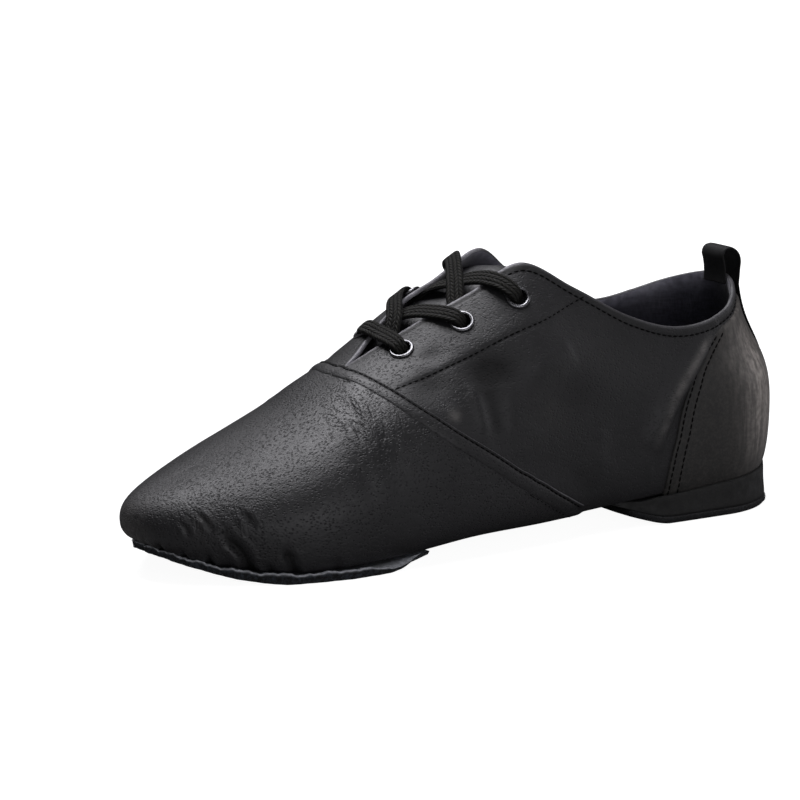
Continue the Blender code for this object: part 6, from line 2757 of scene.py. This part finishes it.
@dataclass
class Stitching:
    """Sewn rows of the seams, one stitch after another along each path."""

    last: Last
    relief: Relief
    band: VampBand
    counter: Counter
    pitch: float = 2.3 * MM
    length: float = 2.0 * MM
    radius: float = 0.30 * MM
    segments: int = 8
    rings: int = 6
    proud: float = 0.06 * MM
    off_edge: float = 1.0
    edge_from: float = 0.07
    edge_past: float = 0.014
    edge_columns: int = 260
    edge_rows: int = 160
    edge_low: float = 1.5
    edge_sunk: float = 0.7

    def tree(self) -> GrowthTree:
        """Tree that sets stitches along the edges of a path mesh."""
        g = GrowthTree("stitch_row", {"Pitch": "Float", "Length": "Float", "Radius": "Float"})
        radius = g.given["Radius"]
        curve = g.first("GeometryNodeMeshToCurve", {0: g.given["Geometry"]})
        spacing = {"Curve": curve, "Length": g.given["Pitch"]}
        even = g.first("GeometryNodeResampleCurve", spacing, mode="LENGTH")
        ball = {"Segments": self.segments, "Rings": self.rings, "Radius": 1.0}
        size = g.first("ShaderNodeCombineXYZ", {0: g.times(g.given["Length"], 0.5), 1: radius, 2: radius})
        stitch = g.first(
            "GeometryNodeTransform", {"Geometry": g.first("GeometryNodeMeshUVSphere", ball), "Scale": size}
        )
        turn = g.turn(g.first("GeometryNodeInputTangent"), g.mark("out"))
        g.scatter({"Points": even, "Instance": stitch, "Rotation": turn})
        return g

    def on_wall(self, u: Array, v: Array, side: Side) -> tuple[Array, Array]:
        """Row on the folded leather of the upper.

        Args:
            u: columns.
            v: rows.
            side: side of the shoe.

        Returns:
            Points and normals.
        """
        points = self.last.wall(u, v, side)
        normals = self.last.normal(u, v, side)
        lift = self.relief.lift(points, u, v, side, np.full(u.shape, self.off_edge)) + self.proud
        return points + normals * lift[:, None], normals

    def facing(self, side: Side) -> tuple[Array, Array]:
        """Row under the eyelets, from the collar to the vamp."""
        u, v, _ = self.relief.facing_path(side)
        return self.on_wall(u, v, side)

    def edge(self, side: Side) -> tuple[Array, Array]:
        """Row along the collar and facing edge, from the counter to the facing's corner.

        Args:
            side: side of the shoe.

        Returns:
            Points and normals.
        """
        corner = self.last.edge_column(self.last.facing_corner)
        u = np.linspace(self.edge_from, corner + self.edge_past, self.edge_columns)
        v = np.linspace(self.edge_low, 2.0, self.edge_rows)
        rows = np.zeros_like(u)
        for k, c in enumerate(u):
            line = self.last.wall(np.full_like(v, c), v, side)
            rows[k] = np.interp(self.relief.edge_row, lengths(line[::-1]), v[::-1])
        points, normals = self.on_wall(u, rows, side)
        return points - normals * self.relief.groove * self.edge_sunk, normals

    def paths(self) -> dict[str, list[tuple[Array, Array]]]:
        """Points and normals of every stitch row, by seam."""
        sides = list(Side)
        band_rows = (self.band.upper_row, self.band.lower_row)
        counter = [
            self.counter.row(side, back, -self.counter.groove + self.proud)
            for side in sides for back in (self.counter.first_row, self.counter.second_row)
        ]
        return {
            "vamp_stitches": [self.band.row(t, self.proud) for t in band_rows],
            "facing_stitches": [self.facing(side) for side in sides],
            "edge_stitches": [self.edge(side) for side in sides],
            "counter_stitches": counter,
        }

    def build(self, finishes: Finishes) -> list[Piece]:
        """Sew every row.

        Args:
            finishes: the materials.

        Returns:
            One piece for each seam.
        """
        tree = self.tree()
        values = {
            "Pitch": self.pitch, "Length": self.length, "Radius": self.radius, "Material": finishes.thread,
        }
        made = []
        for name, rows in self.paths().items():
            edges = []
            count = 0
            for points, _ in rows:
                edges += [(count + k, count + k + 1) for k in range(len(points) - 1)]
                count += len(points)
            mesh = bpy.data.meshes.new(name + "_path")
            mesh.from_pydata(np.concatenate([points for points, _ in rows]).tolist(), edges, [])
            set_marks(mesh, {"out": np.concatenate([normals for _, normals in rows])})
            made.append(settle(tree.grow(name, mesh, values), "upper_leather"))
        return made


@dataclass
class Eyelets:
    """Six rolled metal eyelets, each a flange ring over its barrel."""

    last: Last
    flange: float = 4.25 * MM
    bore: float = 3.0 * MM
    rise: float = 0.55 * MM
    seat: float = 0.25 * MM
    barrel_wall: float = 0.16 * MM
    barrel_depth: float = 1.3 * MM
    barrel_drop: float = -0.6 * MM
    sides: int = 56
    oval_sides: int = 16

    def ring(self, g: GrowthTree, radius: float, wide: float, deep: float, drop: float) -> Socket:
        """Ring with an oval section.

        Args:
            g: tree to build in.
            radius: radius of the ring's middle.
            wide: half-width of the section.
            deep: half-height of the section.
            drop: height of the ring's middle.

        Returns:
            The ring's geometry.
        """
        circle = "GeometryNodeCurvePrimitiveCircle"
        path = g.first(circle, {"Resolution": self.sides, "Radius": radius})
        oval = g.first(circle, {"Resolution": self.oval_sides, "Radius": 1.0})
        shaped = g.first("GeometryNodeTransform", {"Geometry": oval, "Scale": (wide, deep, 1.0)})
        body = g.first("GeometryNodeCurveToMesh", {"Curve": path, "Profile Curve": shaped})
        return g.first("GeometryNodeTransform", {"Geometry": body, "Translation": (0.0, 0.0, drop)})

    def tree(self) -> GrowthTree:
        """Tree that sets an eyelet on each point."""
        g = GrowthTree("eyelet_set", {})
        half = (self.flange - self.bore) / 2.0
        rim = self.ring(g, self.bore + half, half, self.rise, self.seat)
        wall = self.barrel_wall
        tube = self.ring(g, self.bore + wall, wall, self.barrel_depth, self.barrel_drop)
        whole = g.node("GeometryNodeJoinGeometry", {0: rim})
        g.feed(whole.inputs[0], tube)
        points = g.first("GeometryNodeMeshToPoints", {0: g.given["Geometry"]})
        turn = g.turn(g.mark("along"), g.mark("out"))
        g.scatter({"Points": points, "Instance": whole.outputs[0], "Rotation": turn})
        return g

    def build(self, finishes: Finishes) -> Piece:
        """Set all six eyelets.

        Args:
            finishes: the materials.

        Returns:
            The finished piece.
        """
        sites = eyelet_sites()
        places = [self.last.wall(spot.column, spot.row, side).tolist() for spot, side in sites]
        outs = np.array([self.last.normal(spot.column, spot.row, side) for spot, side in sites])
        mesh = bpy.data.meshes.new("eyelet_points")
        mesh.from_pydata(places, [], [])
        set_marks(mesh, {"out": outs, "along": unit(np.cross(outs, UP))})
        piece = self.tree().grow("eyelet_rings", mesh, {"Material": finishes.metal})
        return settle(piece, "eyelet_metal", *[f"eyelet_{k}" for k in range(1, len(sites) + 1)])


@dataclass
class Fuzz:
    """Loose suede fibres along the cut edges of the sole and the lift."""

    density: float = 5.0e6
    length: float = 0.75 * MM
    radius: float = 0.035 * MM
    sides: int = 3
    tilt: float = 1.1
    least: float = 0.35
    nap_from: float = 0.9
    seed: int = 7

    def tree(self) -> GrowthTree:
        """Tree that scatters fibres over faces marked as nap."""
        g = GrowthTree("edge_fuzz", {"Density": "Float", "Length": "Float", "Radius": "Float", "Seed": "Int"})
        seed = g.given["Seed"]
        nap = g.mark("nap", "FLOAT")
        rooted = g.first("FunctionNodeCompare", {0: nap, 1: self.nap_from}, operation="GREATER_THAN")
        spread = g.node("GeometryNodeDistributePointsOnFaces", {
            "Mesh": g.given["Geometry"], "Selection": rooted, "Density": g.given["Density"], "Seed": seed,
        }).outputs
        fibre = g.first("GeometryNodeMeshCone", {
            "Vertices": self.sides, "Radius Top": 0.0, "Radius Bottom": g.given["Radius"],
            "Depth": g.given["Length"],
        }, fill_type="NGON")
        most = (self.tilt, self.tilt, math.pi)
        leans = {0: tuple(-angle for angle in most), 1: most, "Seed": seed}
        tilt = g.first("FunctionNodeRandomValue", leans, data_type="FLOAT_VECTOR")
        tilt = g.first("FunctionNodeEulerToRotation", {0: tilt})
        turn = g.first("FunctionNodeRotateRotation", {0: spread["Rotation"], 1: tilt}, rotation_space="LOCAL")
        sizes = {2: self.least, 3: 1.0, "Seed": seed}
        size = g.node("FunctionNodeRandomValue", sizes, data_type="FLOAT").outputs[1]
        g.scatter({"Points": spread["Points"], "Instance": fibre, "Rotation": turn, "Scale": size})
        return g

    def build(self, finishes: Finishes, soles: Sequence[Piece]) -> list[Piece]:
        """Grow fibres on each sole piece.

        Args:
            finishes: the materials.
            soles: pieces with a nap attribute.

        Returns:
            One piece of fibres for each sole piece.
        """
        tree = self.tree()
        values = {
            "Density": self.density, "Length": self.length, "Radius": self.radius, "Seed": self.seed,
            "Material": finishes.fuzz,
        }
        made = [tree.grow(sole.name + "_fuzz", sole.data.copy(), values) for sole in soles]
        return [settle(piece, "sole_suede") for piece in made]


def bearing(azimuth: float, elevation: float) -> Vector:
    """Direction from the shoe at a compass angle and a height angle, in degrees."""
    a = math.radians(azimuth)
    e = math.radians(elevation)
    return Vector((math.sin(a) * math.cos(e), math.cos(a) * math.cos(e), math.sin(e)))


@dataclass(frozen=True)
class Softbox:
    """Square studio light aimed at the shoe."""

    name: str
    azimuth: float
    elevation: float
    watts: float
    distance: float = 1.3
    size: float = 0.7
    tint: Colour = (1.0, 0.99, 1.03)

    def build(self) -> Piece:
        """Hang the light."""
        lamp = bpy.data.lights.new(self.name, "AREA")
        lamp.shape = "SQUARE"
        lamp.size = self.size
        lamp.energy = self.watts
        lamp.color = self.tint
        toward = bearing(self.azimuth, self.elevation)
        made = link(self.name, lamp)
        made.location = toward * self.distance
        made.rotation_euler = (-toward).to_track_quat("-Z", "Y").to_euler()
        made.visible_camera = False
        return made


SOFTBOXES = (
    Softbox("key", 178.0, 66.0, 10.4),
    Softbox("top", 0.0, 90.0, 6.5),
    Softbox("backdrop", 180.0, 40.0, 0.8),
    Softbox("near_side", 0.0, 12.0, 3.1),
    Softbox("heel_side", 288.0, 12.0, 2.0),
    Softbox("camera_side", 30.0, 12.0, 1.2),
)


@dataclass
class Studio:
    """Floor, sky, lights and camera of the photograph."""

    last: Last
    azimuth: float = 33.0
    elevation: float = 11.7
    distance: float = 1.400
    lens: float = 187.1
    sensor: float = 36.0
    pivot: tuple[float, float, float] = (127.0 * MM, 0.0, 35.0 * MM)
    aim_right: float = -16.2 * MM
    aim_up: float = 10.1 * MM
    floor_size: float = 8.0
    floor_cells: int = 8
    sky_seen: float = 1.0
    sky_light: float = 0.025
    clip_start: float = 0.05
    clip_end: float = 60.0

    def build_floor(self, finishes: Finishes) -> None:
        """Lay the floor."""
        mesh = bpy.data.meshes.new("studio_floor")
        bm = bmesh.new()
        cells = self.floor_cells
        bmesh.ops.create_grid(bm, x_segments=cells, y_segments=cells, size=self.floor_size)
        bm.to_mesh(mesh)
        bm.free()
        mesh.materials.append(finishes.floor)
        floor = link("studio_floor", mesh)

    def build_sky(self) -> None:
        """White backdrop that lights the shoe only softly."""
        world = bpy.data.worlds.new("studio")
        world.use_nodes = True
        graph = Graph(world.node_tree)
        back = world.node_tree.nodes["Background"]
        direct = graph.node("ShaderNodeLightPath").outputs["Is Camera Ray"]
        back.inputs["Color"].default_value = rgba(WHITE)
        graph.feed(back.inputs["Strength"], graph.span(direct, self.sky_light, self.sky_seen))
        bpy.context.scene.world = world

    def build_lights(self) -> None:
        """Key light high behind the shoe, a top light, and weak fills round it."""
        for softbox in SOFTBOXES:
            softbox.build()

    def build_camera(self) -> None:
        """Set the camera at the photograph's viewing angle."""
        back = bearing(self.azimuth, self.elevation)
        up = bearing(self.azimuth, self.elevation + 90.0)
        right = up.cross(back)
        pivot = Vector(self.pivot) + Vector(self.last.shift)
        data = bpy.data.cameras.new("photo_view")
        data.lens = self.lens
        data.sensor_width = self.sensor
        data.clip_start = self.clip_start
        data.clip_end = self.clip_end
        camera = link("photo_view", data)
        camera.location = pivot + back * self.distance
        look = pivot + right * self.aim_right + up * self.aim_up
        camera.rotation_euler = (look - camera.location).to_track_quat("-Z", "Y").to_euler()
        bpy.context.scene.camera = camera

    def build(self, finishes: Finishes) -> None:
        """Set up the studio."""
        self.build_floor(finishes)
        self.build_sky()
        self.build_lights()
        self.build_camera()
        bpy.context.scene.view_settings.view_transform = "Standard"


def main() -> None:
    """Dress the shoe and set up the studio."""
    logging.basicConfig(level=logging.INFO, format="%(name)s %(message)s")
    last = Last()
    relief = Relief(last)
    finishes = Finishes()
    band = VampBand(last)
    counter = Counter(last, relief)
    underfoot = Underfoot(last)
    Upper(last, relief).build(finishes)
    band.build(finishes)
    counter.build(finishes)
    Tongue(last).build(finishes)
    underfoot.build_insole(finishes)
    sole = underfoot.build_sole(finishes)
    underfoot.build_heel(finishes)
    lift = underfoot.build_lift(finishes)
    Ribbon(last).build(finishes)
    Lace(last).build(finishes)
    Eyelets(last).build(finishes)
    Stitching(last, relief, band, counter).build(finishes)
    Fuzz().build(finishes, (sole, lift))
    Studio(last).build(finishes)


if __name__ == "__main__":
    main()
